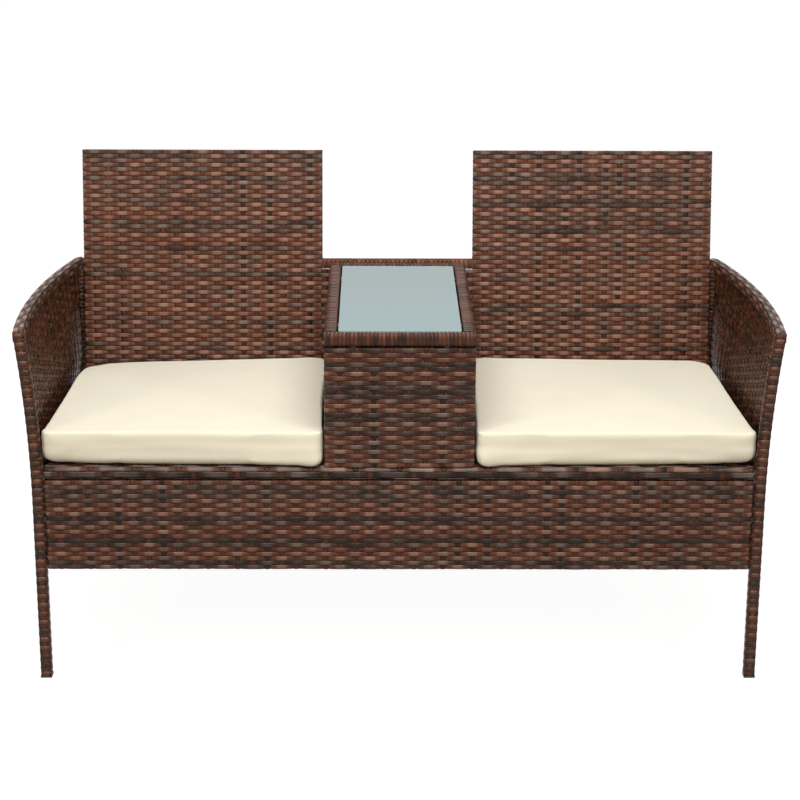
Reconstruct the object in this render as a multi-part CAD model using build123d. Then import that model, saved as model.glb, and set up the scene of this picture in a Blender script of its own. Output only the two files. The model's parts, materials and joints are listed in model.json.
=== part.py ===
from build123d import *

import os
from math import cos, radians, sin, sqrt, tan

# Two-seat woven bench with a glass-topped table between the seats.
# X runs across the bench, Y from front to back, Z up.
# The origin is on the floor under the middle of the bench.
# Every edge is a square steel tube in a wound strip wrap.
# Thin woven sheets fill the fields between edges.

# Overall sizes, in millimetres
overall_width = 1330.0
overall_depth = 590.0
overall_height = 845.0
arm_height = 640.0
seat_height = 395.0
table_height = 635.0
skirt_height = 207.0

# Tubes and strip
leg_tube = 16.0
rail_tube = 18.0
tube_wall = 1.2
strip = 1.8
strip_gap = 0.2
open_weave = 3.0
fit_gap = 0.3

# Arms and legs
arm_bow = 28.0
leg_flare_start = 330.0
leg_top_radius = 6.0
arm_apex_setback = 170.0
arm_rail_reach = 535.0
arm_rail_overhang = 2.0
arm_end_radius = 9.0
foot_cap_height = 4.0
foot_plug_height = 14.0
foot_plug_clearance = 0.3
rear_bend_rise = 45.0

# Seat and apron
seat_setback = 4.0
seat_end_gap = 1.0
apron_setback = 3.5
apron_drop = 1.0
apron_end_gap = 2.0
apron_bays = 3

# Back
back_end_gap = 13.5
back_side_gap = 1.0
back_recline = 10.5
back_setback = 477.0
notch_width = 289.0
notch_height = 641.0
back_bolt_drop = 26.0

# Table
table_width = 260.0
table_setback = 5.0
table_panel_setback = 7.0
table_gap = 3.0
table_back_gap = 1.0
table_bolt_offset = 80.0
glass_thickness = 5.0
glass_clearance = 2.5
glass_recess = 1.5
glass_corner_radius = 4.0
bumper_diameter = 18.0
bumper_height = 2.0
bumper_inset = 20.0
support_bar_width = 22.0
support_bar_thickness = 4.0
support_bar_inset = 70.0

# Cushions
cushion_thickness = 57.0
cushion_crown = 5.0
cushion_front_setback = 8.0
cushion_side_clearance = 2.5
cushion_back_clearance = 2.0
cushion_front_radius = 15.0
cushion_rear_radius = 36.0
cushion_edge_radius = 8.0
cushion_pull = 4.0
cushion_crown_share = 0.25

# Bolts
bolt_diameter = 6.0
bolt_tip = 1.5
bolt_head_diameter = 11.0
bolt_head_height = 3.3
bolt_hole_clearance = 0.4
washer_diameter = 11.5
washer_thickness = 1.2
nut_diameter = 9.8
nut_height = 5.0
nut_bore_clearance = 0.2
nut_seat_gap = 0.2
spacer_diameter = 15.0
side_bolt_places = (-150.0, 100.0)
apron_bolt_drop = 75.0

# Places worked out from the sizes above
front = -overall_depth / 2
rear = overall_depth / 2
cover = strip + strip_gap
window_inset = strip + strip_gap / 2
leg_size = leg_tube + 2 * cover
rail_size = rail_tube + 2 * cover
through = 1.0
flush = (0, 0)
butted = (cover, cover)
closed = (-cover, -cover)
recline_slope = tan(radians(back_recline))
recline_cos = cos(radians(back_recline))
recline_sin = sin(radians(back_recline))

leg_outer = overall_width / 2 - arm_bow
leg_middle = leg_outer - leg_size / 2
leg_inner = leg_outer - leg_size
arm_underside = arm_height - leg_size
rear_foot_y = rear - leg_size / 2
arm_rail_end = front + arm_rail_reach
rear_top_y = arm_rail_end - arm_rail_overhang - leg_size / 2
arm_apex_y = front + arm_apex_setback
rear_lean = back_end_gap - back_side_gap
rear_bow = arm_bow + rear_lean
arm_radius = ((rear_top_y - arm_apex_y) ** 2 + rear_bow**2) / (2 * rear_bow)
arm_centre_x = overall_width / 2 - arm_radius
front_leg_rear = front + leg_size


def arm_x(y, inset):
    """X of the arm rail's bowed face that lies inset from its outer face."""
    return arm_centre_x + sqrt((arm_radius - inset) ** 2 - (y - arm_apex_y) ** 2)


leg_flare = arm_x(front_leg_rear, 0) - leg_outer
flare_rise = arm_height - leg_flare_start
flare_radius = (flare_rise**2 + leg_flare**2) / (2 * leg_flare)

seat_half = leg_inner - seat_end_gap
seat_front = front + seat_setback
seat_under = seat_height - rail_size
apron_half = leg_inner - apron_end_gap
apron_front = front + apron_setback
apron_top = seat_under - apron_drop
apron_upright_offset = apron_half / apron_bays

back_half = leg_inner - back_end_gap
notch_half = notch_width / 2
stiffener_offset = (notch_half + back_half) / 2
back_foot_bolt_offset = (notch_half + leg_size + stiffener_offset) / 2
back_bolt_height = arm_underside - back_bolt_drop
back_foot = seat_height + fit_gap + leg_size * recline_sin
back_length = (overall_height - back_foot) / recline_cos
notch_level = (notch_height - back_foot) / recline_cos

table_half = table_width / 2
table_inner = table_half - rail_size
seat_bar_offset = (table_half + seat_half) / 2
table_front = front + table_setback
table_under = table_height - rail_size
panel_front = front + table_panel_setback
panel_foot = seat_height + fit_gap
panel_top = table_under - table_gap


def back_y(z):
    """Y of the back's front face at height z."""
    return front + back_setback + (z - seat_height) * recline_slope


seat_rear = back_y(back_foot) + leg_size * recline_cos
table_rear = back_y(table_under) - table_back_gap
back_place = Pos(0, back_y(back_foot), back_foot) * Rot(-back_recline, 0, 0)


def rear_leg_y(z):
    """Y of the raked rear leg's middle at height z."""
    return rear_foot_y + (rear_top_y - rear_foot_y) * z / arm_underside


rear_bend_low = seat_height
rear_bend_high = rear_bend_low + rear_bend_rise


def rear_leg_x(z):
    """X of the rear leg's middle at height z: upright, then bent in over the seat, then upright."""
    share = (z - rear_bend_low) / (rear_bend_high - rear_bend_low)
    return leg_middle - rear_lean * min(max(share, 0), 1)


def leg_x(z, inset):
    """X of the front leg's face that lies inset from its outer face."""
    rise = max(z - leg_flare_start, 0)
    return leg_outer + flare_radius - sqrt((flare_radius + inset) ** 2 - rise**2)


def block(x, y, z):
    """Box between a low and a high value on each axis."""
    size = [high - low for low, high in (x, y, z)]
    middle = [(high + low) / 2 for low, high in (x, y, z)]
    return Pos(*middle) * Box(*size)


def side_slab(points, x):
    """Outline of (y, z) points, drawn out in X from x[0] to x[1]."""
    outline = Polyline(*[(x[0], y, z) for y, z in points], close=True)
    return extrude(make_face(outline), amount=x[1] - x[0], dir=(1, 0, 0))


def straight_bar(x, y, z, along):
    """Function of inset and end reaches that makes a straight bar, filled, along axis number along."""

    def bar(inset, ends):
        spans = [(low + inset, high - inset) for low, high in (x, y, z)]
        low, high = (x, y, z)[along]
        spans[along] = (low - ends[0], high + ends[1])
        return block(*spans)

    return bar


def wound(bar, ends):
    """Tube, wrap and the window that the tube needs in a neighbour's wrap, of one wound bar.

    ends says how far the tube passes the two ends of the wrap. It passes through
    a neighbour's wrap where it butts, and is held back where the wrap closes over it.
    """
    tube = bar(cover, ends) - bar(cover + tube_wall, [reach + through for reach in ends])
    space = bar(strip, [reach + strip_gap if reach < 0 else reach for reach in ends])
    return tube, bar(0, flush) - space, bar(window_inset, ends)


def bare_tube(bar):
    """Tube with no wrap, of the bar's full section."""
    return bar(0, flush) - bar(tube_wall, (through, through))


def mirrored(shape):
    """The same shape on the other side of the bench."""
    return mirror(shape, about=Plane.YZ)


def front_leg_bar(inset, bottom, top):
    """Filled front leg of the right side, straight up to the flare and then bowed outward."""
    y = front + inset
    straight_top = leg_flare_start
    middle = (straight_top + top) / 2
    sides = []
    for offset in (inset, leg_size - inset):
        foot = (leg_x(bottom, offset), y, bottom)
        knee = (leg_x(straight_top, offset), y, straight_top)
        crest = (leg_x(top, offset), y, top)
        bend = ThreePointArc(knee, (leg_x(middle, offset), y, middle), crest)
        sides.append((foot, crest, [Line(foot, knee), bend]))
    (foot_out, crest_out, edges_out), (foot_in, crest_in, edges_in) = sides
    outline = edges_out + edges_in + [Line(crest_out, crest_in), Line(foot_out, foot_in)]
    return extrude(make_face(outline), amount=leg_size - 2 * inset, dir=(0, 1, 0))


def rounded_leg_top(leg, top, front_y, radius):
    """The front leg with its top front edge rounded over."""
    edge = leg.edges().filter_by(Axis.X).sort_by_distance((leg_x(top, leg_size / 2), front_y, top))[0]
    return fillet(edge, radius)


def arm_rail_bar(inset, start, end, end_radius):
    """Filled arm rail of the right side between two Y values, bowed in plan, with a rounded rear end."""
    bottom = arm_underside + inset
    middle = (start + end) / 2
    edges = []
    ends = []
    for offset in (inset, leg_size - inset):
        first = (arm_x(start, offset), start, bottom)
        last = (arm_x(end, offset), end, bottom)
        edges.append(ThreePointArc(first, (arm_x(middle, offset), middle, bottom), last))
        ends.append((first, last))
    edges.append(Line(ends[0][0], ends[1][0]))
    edges.append(Line(ends[0][1], ends[1][1]))
    rail = extrude(make_face(edges), amount=leg_size - 2 * inset, dir=(0, 0, 1))
    if end_radius > 0:
        rail = fillet(rail.edges().filter_by(Axis.Z).group_by(Axis.Y)[-1], end_radius)
    return rail


def rear_leg_bar(inset, bottom, top):
    """Filled raked rear leg of the right side between two heights."""
    size = leg_size - 2 * inset
    bends = [z for z in (rear_bend_low, rear_bend_high) if bottom < z < top]
    sections = []
    for z in (bottom, *bends, top):
        sections.append(Pos(rear_leg_x(z), rear_leg_y(z), z) * Rectangle(size, size))
    return loft(sections, ruled=True)


def side_rail_bar(base):
    """Function of inset and end reaches for a rail between one side's legs, underside at base."""

    def bar(inset, ends):
        low = base + inset
        high = base + leg_size - inset
        start = front_leg_rear - ends[0]
        half = leg_size / 2
        stop_low = rear_leg_y(low) - half + ends[1]
        stop_high = rear_leg_y(high) - half + ends[1]
        points = [(start, low), (stop_low, low), (stop_high, high), (start, high)]
        return side_slab(points, (leg_inner + inset, leg_outer - inset))

    return bar


side_rail_base = seat_height - leg_size
lower_rail_base = skirt_height


def arm_weave(bottom, top):
    """Free woven sheet of the right arm between two heights, flared and bowed as the arm is."""
    lean_full = leg_x(arm_underside, leg_size / 2) - leg_middle
    start = front_leg_rear + fit_gap
    sections = []
    for z in (bottom, rear_bend_high, (rear_bend_high + top) / 2, top):
        stop = rear_leg_y(z) - leg_size / 2 - fit_gap
        middle_y = (start + stop) / 2
        front_x = leg_x(z, leg_size / 2)
        rear_x = rear_leg_x(z)
        chord_x = (front_x + rear_x) / 2
        full_chord = (leg_middle + lean_full + rear_leg_x(arm_underside)) / 2
        bow = (arm_x(middle_y, leg_size / 2) - full_chord) * (front_x - leg_middle) / lean_full
        edges = []
        corners = []
        for half in (-open_weave / 2, open_weave / 2):
            first = (front_x + half, start, z)
            last = (rear_x + half, stop, z)
            edges.append(ThreePointArc(first, (chord_x + bow + half, middle_y, z), last))
            corners.append((first, last))
        edges.append(Line(corners[0][0], corners[1][0]))
        edges.append(Line(corners[0][1], corners[1][1]))
        sections.append(make_face(edges))
    return loft(sections, ruled=True)


def skirt_weave():
    """Free woven sheet of the right side between the lower rail and the seat-level rail."""
    low = lower_rail_base + leg_size + fit_gap
    high = side_rail_base - fit_gap
    start = front_leg_rear + fit_gap
    reach = leg_size / 2 + fit_gap
    points = [(start, low), (rear_leg_y(low) - reach, low), (rear_leg_y(high) - reach, high), (start, high)]
    return side_slab(points, (leg_middle - open_weave / 2, leg_middle + open_weave / 2))


def front_leg():
    """Tube and wrap of the right front leg."""
    bottom = foot_cap_height
    tube_top = arm_height - cover
    tube = front_leg_bar(cover, bottom, tube_top)
    tube = rounded_leg_top(tube, tube_top, front + cover, leg_top_radius - cover)
    bore_inset = cover + tube_wall
    tube -= front_leg_bar(bore_inset, bottom - through, arm_height - bore_inset)
    wrap = front_leg_bar(0, bottom, arm_height)
    wrap = rounded_leg_top(wrap, arm_height, front, leg_top_radius)
    space_top = arm_height - strip
    space = front_leg_bar(strip, bottom - through, space_top)
    space = rounded_leg_top(space, space_top, front + strip, leg_top_radius - strip)
    return tube, wrap - space


def arm_rail():
    """Tube, wrap and the tube's window of the right arm rail."""
    start = front_leg_rear - cover
    stop = arm_rail_end - cover
    bore_inset = cover + tube_wall
    tube = arm_rail_bar(cover, start, stop, arm_end_radius - cover)
    tube -= arm_rail_bar(bore_inset, start - through, stop + through, 0)
    space = arm_rail_bar(strip, start, arm_rail_end - strip, arm_end_radius - strip)
    wrap = arm_rail_bar(0, front_leg_rear, arm_rail_end, arm_end_radius) - space
    return tube, wrap, arm_rail_bar(window_inset, start, arm_rail_end - cover, 0)


def rear_leg():
    """Tube, wrap and the tube's window of the right rear leg."""
    bottom = foot_cap_height
    top = arm_underside + cover
    tube = rear_leg_bar(cover, bottom, top)
    tube -= rear_leg_bar(cover + tube_wall, bottom - through, top + through)
    space = rear_leg_bar(strip, bottom - through, top)
    wrap = rear_leg_bar(0, bottom, arm_underside) - space
    return tube, wrap, rear_leg_bar(window_inset, bottom, top)


def arm_frame():
    """Solids of the right arm: legs, rails, their wraps and the two woven sheets."""
    leg, leg_wrap = front_leg()
    rail, rail_wrap, rail_window = arm_rail()
    back_leg, back_leg_wrap, back_leg_window = rear_leg()
    side_rail, side_wrap, side_window = wound(side_rail_bar(side_rail_base), butted)
    lower_rail, lower_wrap, lower_window = wound(side_rail_bar(lower_rail_base), butted)
    leg_wrap = leg_wrap - rail_window - side_window - lower_window
    back_leg_wrap = back_leg_wrap - side_window - lower_window
    rail_wrap -= back_leg_window
    weave_low = side_rail_base + leg_size + fit_gap
    return {
        "front_leg": [leg],
        "arm_rail": [rail],
        "rear_leg": [back_leg],
        "side_rail": [side_rail],
        "lower_rail": [lower_rail],
        "arm_wrap": [leg_wrap, rail_wrap, back_leg_wrap, side_wrap, lower_wrap],
        "arm_weave": [arm_weave(weave_low, arm_underside - fit_gap)],
        "skirt_weave": [skirt_weave()],
    }


def foot_caps():
    """Four caps that plug into the open ends of the leg tubes."""
    plug_inset = cover + tube_wall + foot_plug_clearance
    plug_top = foot_cap_height + foot_plug_height
    leg_x_span = (leg_inner, leg_outer)
    leg_y_span = (front, front_leg_rear)
    front_cap = straight_bar(leg_x_span, leg_y_span, (0, foot_cap_height), 2)
    front_plug = straight_bar(leg_x_span, leg_y_span, (0, plug_top), 2)
    caps = [
        front_cap(0, flush) + front_plug(plug_inset, flush),
        rear_leg_bar(0, 0, foot_cap_height) + rear_leg_bar(plug_inset, 0, plug_top),
    ]
    return {"foot_caps": caps + [mirrored(cap) for cap in caps]}


def seat_panel():
    """Seat frame, its wraps and the woven seat."""
    levels = (seat_under, seat_height)
    front_span = (seat_front, seat_front + rail_size)
    rear_span = (seat_rear - rail_size, seat_rear)
    length = (-seat_half, seat_half)
    front_rail, front_wrap, _ = wound(straight_bar(length, front_span, levels, 0), closed)
    rear_rail, rear_wrap, _ = wound(straight_bar(length, rear_span, levels, 0), closed)
    bar_levels = (seat_under + cover, seat_height - cover)
    bar_span = (front_span[1] - cover, rear_span[0] + cover)
    end_middle = seat_half - cover - rail_tube / 2
    table_bar = table_half - rail_size / 2
    tubes = {}
    cross_places = (-seat_bar_offset, -table_bar, table_bar, seat_bar_offset)
    for middle in (-end_middle, *cross_places, end_middle):
        bar = straight_bar((middle - rail_tube / 2, middle + rail_tube / 2), bar_span, bar_levels, 1)
        tubes[middle] = bare_tube(bar)
        window = bar(-strip_gap, flush)
        front_wrap -= window
        rear_wrap -= window
    field = (front_span[1] + fit_gap, rear_span[0] - fit_gap)
    weave = block(length, field, (seat_height - strip, seat_height))
    return {
        "seat_front_rail": [front_rail],
        "seat_rear_rail": [rear_rail],
        "seat_end_rails": [tubes[-end_middle], tubes[end_middle]],
        "seat_cross_bars": [tubes[place] for place in cross_places],
        "seat_wrap": [front_wrap, rear_wrap],
        "seat_weave": [weave],
    }


def apron_panel():
    """Apron frame between the front legs, its wraps and its woven sheet."""
    span = (apron_front, apron_front + rail_size)
    length = (-apron_half, apron_half)
    field = (skirt_height + rail_size, apron_top - rail_size)
    top_rail, top_wrap, _ = wound(straight_bar(length, span, (field[1], apron_top), 0), closed)
    bottom_rail, bottom_wrap, _ = wound(straight_bar(length, span, (skirt_height, field[0]), 0), closed)
    post_bar = straight_bar((apron_half - rail_size, apron_half), span, field, 2)
    post, post_wrap, post_window = wound(post_bar, butted)
    tube_span = (span[0] + cover, span[1] - cover)
    tube_field = (field[0] - cover, field[1] + cover)
    half = rail_tube / 2
    upright_span = (apron_upright_offset - half, apron_upright_offset + half)
    upright_bar = straight_bar(upright_span, tube_span, tube_field, 2)
    upright = bare_tube(upright_bar)
    for space in (post_window, upright_bar(-strip_gap, flush)):
        top_wrap = top_wrap - space - mirrored(space)
        bottom_wrap = bottom_wrap - space - mirrored(space)
    inside = apron_half - rail_size - fit_gap
    sheet = (span[0], span[0] + strip)
    weave = block((-inside, inside), sheet, (field[0] + fit_gap, field[1] - fit_gap))
    return {
        "apron_top_rail": [top_rail],
        "apron_bottom_rail": [bottom_rail],
        "apron_end_posts": [post, mirrored(post)],
        "apron_uprights": [upright, mirrored(upright)],
        "apron_wrap": [top_wrap, bottom_wrap, post_wrap, mirrored(post_wrap)],
        "apron_weave": [weave],
    }


def back_panel():
    """Notched back: frame tubes, wraps and three woven fields, built upright and then leaned back."""
    depth = (0, leg_size)
    outer_span = (back_half - leg_size, back_half)
    inner_span = (notch_half, notch_half + leg_size)
    field_top = back_length - leg_size
    post, post_wrap, _ = wound(straight_bar(outer_span, depth, (0, back_length), 2), closed)
    inner_bar = straight_bar(inner_span, depth, (leg_size, back_length), 2)
    inner, inner_wrap, inner_window = wound(inner_bar, (butted[0], closed[1]))
    top_bar = straight_bar((inner_span[1], outer_span[0]), depth, (field_top, back_length), 0)
    top, top_wrap, top_window = wound(top_bar, butted)
    bottom_span = (-outer_span[0], outer_span[0])
    bottom, bottom_wrap, bottom_window = wound(straight_bar(bottom_span, depth, (0, leg_size), 0), butted)
    notch_bar = straight_bar((-notch_half, notch_half), depth, (notch_level - leg_size, notch_level), 0)
    notch, notch_wrap, notch_window = wound(notch_bar, butted)
    half = leg_tube / 2
    stiff_span = (stiffener_offset - half, stiffener_offset + half)
    stiff_bar = straight_bar(stiff_span, (cover, leg_size - cover),
                             (leg_size - cover, field_top + cover), 2)
    stiffener = bare_tube(stiff_bar)
    stiff_window = stiff_bar(-strip_gap, flush)
    post_wrap = post_wrap - top_window - bottom_window
    inner_wrap = inner_wrap - top_window - notch_window
    top_wrap -= stiff_window
    bottom_wrap = bottom_wrap - inner_window - mirrored(inner_window) - stiff_window - mirrored(stiff_window)
    sheet = (0, strip)
    side_field = block((inner_span[1] + fit_gap, outer_span[0] - fit_gap), sheet,
                       (leg_size + fit_gap, field_top - fit_gap))
    centre_field = block((fit_gap - notch_half, notch_half - fit_gap), sheet,
                         (leg_size + fit_gap, notch_level - leg_size - fit_gap))
    pairs = [post_wrap, inner_wrap, top_wrap]
    upright = {
        "back_outer_posts": [post, mirrored(post)],
        "back_inner_posts": [inner, mirrored(inner)],
        "back_top_rails": [top, mirrored(top)],
        "back_notch_rail": [notch],
        "back_bottom_rail": [bottom],
        "back_stiffeners": [stiffener, mirrored(stiffener)],
        "back_wrap": pairs + [mirrored(wrap) for wrap in pairs] + [bottom_wrap, notch_wrap],
        "back_left_weave": [mirrored(side_field)],
        "back_right_weave": [side_field],
        "back_centre_weave": [centre_field],
    }
    return {name: [back_place * solid for solid in solids] for name, solids in upright.items()}


def table_top():
    """Wrapped frame of the table top with the glass, its bumpers and its support bars."""
    levels = (table_under, table_height)
    width = (-table_half, table_half)
    inside = table_inner
    front_inner = table_front + rail_size
    rear_inner = table_rear - rail_size
    front_rail, front_wrap, _ = wound(straight_bar(width, (table_front, front_inner), levels, 0), closed)
    rear_rail, rear_wrap, _ = wound(straight_bar(width, (rear_inner, table_rear), levels, 0), closed)
    side_bar = straight_bar((inside, table_half), (front_inner, rear_inner), levels, 1)
    side, side_wrap, side_window = wound(side_bar, butted)
    for space in (side_window, mirrored(side_window)):
        front_wrap -= space
        rear_wrap -= space

    glass_top = table_height - glass_recess
    glass_under = glass_top - glass_thickness
    bar_top = glass_under - bumper_height
    bar_reach = inside + cover
    bars = []
    bumpers = []
    for bar_y in (front_inner + support_bar_inset, rear_inner - support_bar_inset):
        span = (bar_y - support_bar_width / 2, bar_y + support_bar_width / 2)
        bars.append(block((-bar_reach, bar_reach), span, (bar_top - support_bar_thickness, bar_top)))
        window = block((-bar_reach, bar_reach), (span[0] - strip_gap, span[1] + strip_gap),
                       (bar_top - support_bar_thickness - strip_gap, bar_top + strip_gap))
        side_wrap -= window
        for bumper_x in (bumper_inset - inside, inside - bumper_inset):
            bumper = Cylinder(bumper_diameter / 2, bumper_height)
            bumpers.append(Pos(bumper_x, bar_y, bar_top + bumper_height / 2) * bumper)
    pane_half = inside - glass_clearance
    pane = block((-pane_half, pane_half), (front_inner + glass_clearance, rear_inner - glass_clearance),
                 (glass_under, glass_top))
    pane = fillet(pane.edges().filter_by(Axis.Z), glass_corner_radius)
    return {
        "table_front_rail": [front_rail],
        "table_rear_rail": [rear_rail],
        "table_side_rails": [side, mirrored(side)],
        "table_top_wrap": [front_wrap, rear_wrap, side_wrap, mirrored(side_wrap)],
        "glass_support_bars": bars,
        "glass_bumpers": bumpers,
        "glass_top": [pane],
    }


def table_rear_face(z):
    """Y of the table box's rear face, which follows the leaning back."""
    return back_y(z) - table_back_gap


def table_rear_post_bar(inset, ends):
    """Filled rear post of the table box's right side, leaning as the back does."""
    low = panel_foot - ends[0]
    high = panel_top + ends[1]
    far = rail_size - inset
    corners = ((low, inset), (low, far), (high, far), (high, inset))
    points = [(table_rear_face(z) - offset, z) for z, offset in corners]
    return side_slab(points, (table_inner + inset, table_half - inset))


def table_side_bar(low, high):
    """Function of inset and end reaches for a side bar of the table box between two heights."""

    def bar(inset, ends):
        bottom = low + inset
        top = high - inset
        start = panel_front + rail_size - ends[0]
        stop_low = table_rear_face(bottom) - rail_size + ends[1]
        stop_high = table_rear_face(top) - rail_size + ends[1]
        points = [(start, bottom), (stop_low, bottom), (stop_high, top), (start, top)]
        return side_slab(points, (table_inner + inset, table_half - inset))

    return bar


def table_sheets(low, high):
    """Woven sheets of the table box's front and right side between two heights."""
    width = (fit_gap - table_inner, table_inner - fit_gap)
    front_sheet = block(width, (panel_front, panel_front + strip), (low, high))
    start = panel_front + rail_size + fit_gap
    stop_low = table_rear_face(low) - rail_size - fit_gap
    stop_high = table_rear_face(high) - rail_size - fit_gap
    points = [(start, low), (stop_low, low), (stop_high, high), (start, high)]
    return front_sheet, side_slab(points, (table_half - strip, table_half))


def table_box():
    """Frame and woven sheets of the table's front and two sides, standing on the seat."""
    depth = (panel_front, panel_front + rail_size)
    post_bar = straight_bar((table_inner, table_half), depth, (panel_foot, panel_top), 2)
    post, post_wrap, _ = wound(post_bar, closed)
    rear_post, rear_wrap, _ = wound(table_rear_post_bar, closed)
    field = (panel_foot + rail_size, panel_top - rail_size)
    front_bars = []
    front_wraps = []
    side_bars = []
    side_wraps = []
    for low, high in ((panel_foot, field[0]), (field[1], panel_top)):
        cross_bar = straight_bar((-table_inner, table_inner), depth, (low, high), 0)
        front_bar, front_wrap, front_window = wound(cross_bar, butted)
        side_bar, side_wrap, side_window = wound(table_side_bar(low, high), butted)
        post_wrap = post_wrap - front_window - side_window
        rear_wrap -= side_window
        front_bars.append(front_bar)
        front_wraps.append(front_wrap)
        side_bars.append(side_bar)
        side_wraps.append(side_wrap)
    front_sheet, side_sheet = table_sheets(field[0] + fit_gap, field[1] - fit_gap)
    right_wraps = [post_wrap, rear_wrap] + side_wraps
    return {
        "table_posts": [post, mirrored(post), rear_post, mirrored(rear_post)],
        "table_box_bars": front_bars + side_bars + [mirrored(bar) for bar in side_bars],
        "table_box_wrap": right_wraps + [mirrored(wrap) for wrap in right_wraps] + front_wraps,
        "table_front_weave": [front_sheet],
        "table_left_weave": [mirrored(side_sheet)],
        "table_right_weave": [side_sheet],
    }


def cushion_section(width, depth, z, pull):
    """Face of a cushion at height z: rounded corners, with sides that draw in between them."""
    half_w = width / 2
    half_d = depth / 2
    radii = {1: cushion_rear_radius, -1: cushion_front_radius}
    edges = []
    for sx, sy in ((1, 1), (-1, 1), (-1, -1), (1, -1)):
        radius = radii[sy]
        turn = radius * (1 - sqrt(0.5))
        side_end = (sx * half_w, sy * (half_d - radius), z)
        face_end = (sx * (half_w - radius), sy * half_d, z)
        edges.append(ThreePointArc(side_end, (sx * (half_w - turn), sy * (half_d - turn), z), face_end))
    for sign in (1, -1):
        reach = half_w - radii[sign]
        along_x = [(end * reach, sign * half_d, z) for end in (1, -1)]
        edges.append(ThreePointArc(along_x[0], (0, sign * (half_d - pull), z), along_x[1]))
        along_y = [(sign * half_w, end * (half_d - radii[end]), z) for end in (1, -1)]
        edges.append(ThreePointArc(along_y[0], (sign * (half_w - pull), 0, z), along_y[1]))
    return make_face(edges)


def rounding(rise):
    """How far a cushion's rounded edge has drawn in at a distance from the edge's centre line."""
    return cushion_edge_radius - sqrt(cushion_edge_radius**2 - rise**2)


def cushions():
    """Two loose box cushions with rounded edges, drawn-in sides and a crowned top."""
    inner = table_half + cushion_side_clearance
    outer = leg_inner - cushion_side_clearance
    start = front + cushion_front_setback
    stop = back_y(seat_height) - cushion_back_clearance
    width = outer - inner
    depth = stop - start
    base = seat_height + fit_gap
    edge = cushion_edge_radius
    shoulder = cushion_thickness - edge
    rises = (0, edge / 2, edge)
    steps = [(edge - rise, rounding(rise)) for rise in reversed(rises)]
    steps += [(shoulder + rise, rounding(rise)) for rise in rises]
    steps.append((cushion_thickness + cushion_crown, min(width, depth) * cushion_crown_share))
    faces = []
    for rise, inset in steps:
        faces.append(cushion_section(width - 2 * inset, depth - 2 * inset, base + rise, cushion_pull))
    cushion = Pos((inner + outer) / 2, (start + stop) / 2, 0) * loft(faces, ruled=True)
    return {"left_cushion": [mirrored(cushion)], "right_cushion": [cushion]}


def side_bolts(side):
    """Bolts that run outward into one arm frame from the apron, the back and the seat.

    Each is the seat of its head, its direction, the distance from there to the face
    that it is bolted to, and the gap that a spacer fills.
    """
    out = (side, 0, 0)
    bore_inset = cover + tube_wall
    back_bore_rear = back_y(back_bolt_height) + (leg_size - bore_inset) / recline_cos
    leg_bore_front = rear_leg_y(back_bolt_height) - leg_size / 2 + bore_inset
    apron_x = apron_half - rail_size
    back_x = back_half - leg_size
    arm_inner = back_half + back_side_gap
    seat_x = seat_half - cover - rail_tube
    apron_y = front_leg_rear - bore_inset - nut_diameter / 2 - fit_gap
    apron_seat = (side * apron_x, apron_y, apron_top - apron_bolt_drop)
    back_seat = (side * back_x, (back_bore_rear + leg_bore_front) / 2, back_bolt_height)
    places = [
        (apron_seat, out, leg_inner - apron_x, apron_end_gap),
        (back_seat, out, arm_inner - back_x, back_side_gap),
    ]
    for y in side_bolt_places:
        seat = (side * seat_x, y, seat_under + rail_size / 2)
        places.append((seat, out, leg_inner - seat_x, seat_end_gap + cover))
    return places


def upright_bolts(side):
    """Bolts of one side that run upward: table top to box, box to seat and back to seat."""
    up = (0, 0, 1)
    bore_inset = cover + tube_wall
    top_y = (panel_front + table_front + rail_size) / 2
    front_x = side * table_bolt_offset
    side_x = side * (table_half - rail_size / 2)
    top_seat = panel_top - rail_size
    top_clamp = table_under - top_seat
    foot_clamp = panel_foot - seat_under
    places = [((front_x, top_y, top_seat), up, top_clamp, table_gap)]
    for y in side_bolt_places:
        places.append(((side_x, y, top_seat), up, top_clamp, table_gap))
        places.append(((side_x, y, seat_under + cover), up, foot_clamp - cover, 0))
    back_bolt_y = back_y(back_foot + leg_size / 2) + leg_size / 2 / recline_cos
    slope_run = back_y(back_foot) - back_bolt_y + nut_diameter / 2
    slope_rise = slope_run * recline_slope + bore_inset / recline_cos
    back_clamp = back_foot + slope_rise - bore_inset - seat_under
    places.append(((side * back_foot_bolt_offset, back_bolt_y, seat_under), up, back_clamp, 0))
    return places


def along(origin, direction, distance):
    """Point at a distance from origin along a unit direction."""
    return tuple(start + step * distance for start, step in zip(origin, direction))


def rod(origin, direction, start, end, diameter):
    """Solid round rod along a direction, from start to end as measured from origin."""
    plane = Plane(origin=along(origin, direction, start), z_dir=direction)
    return plane * Cylinder(diameter / 2, end - start, align=(Align.CENTER, Align.CENTER, Align.MIN))


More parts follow.
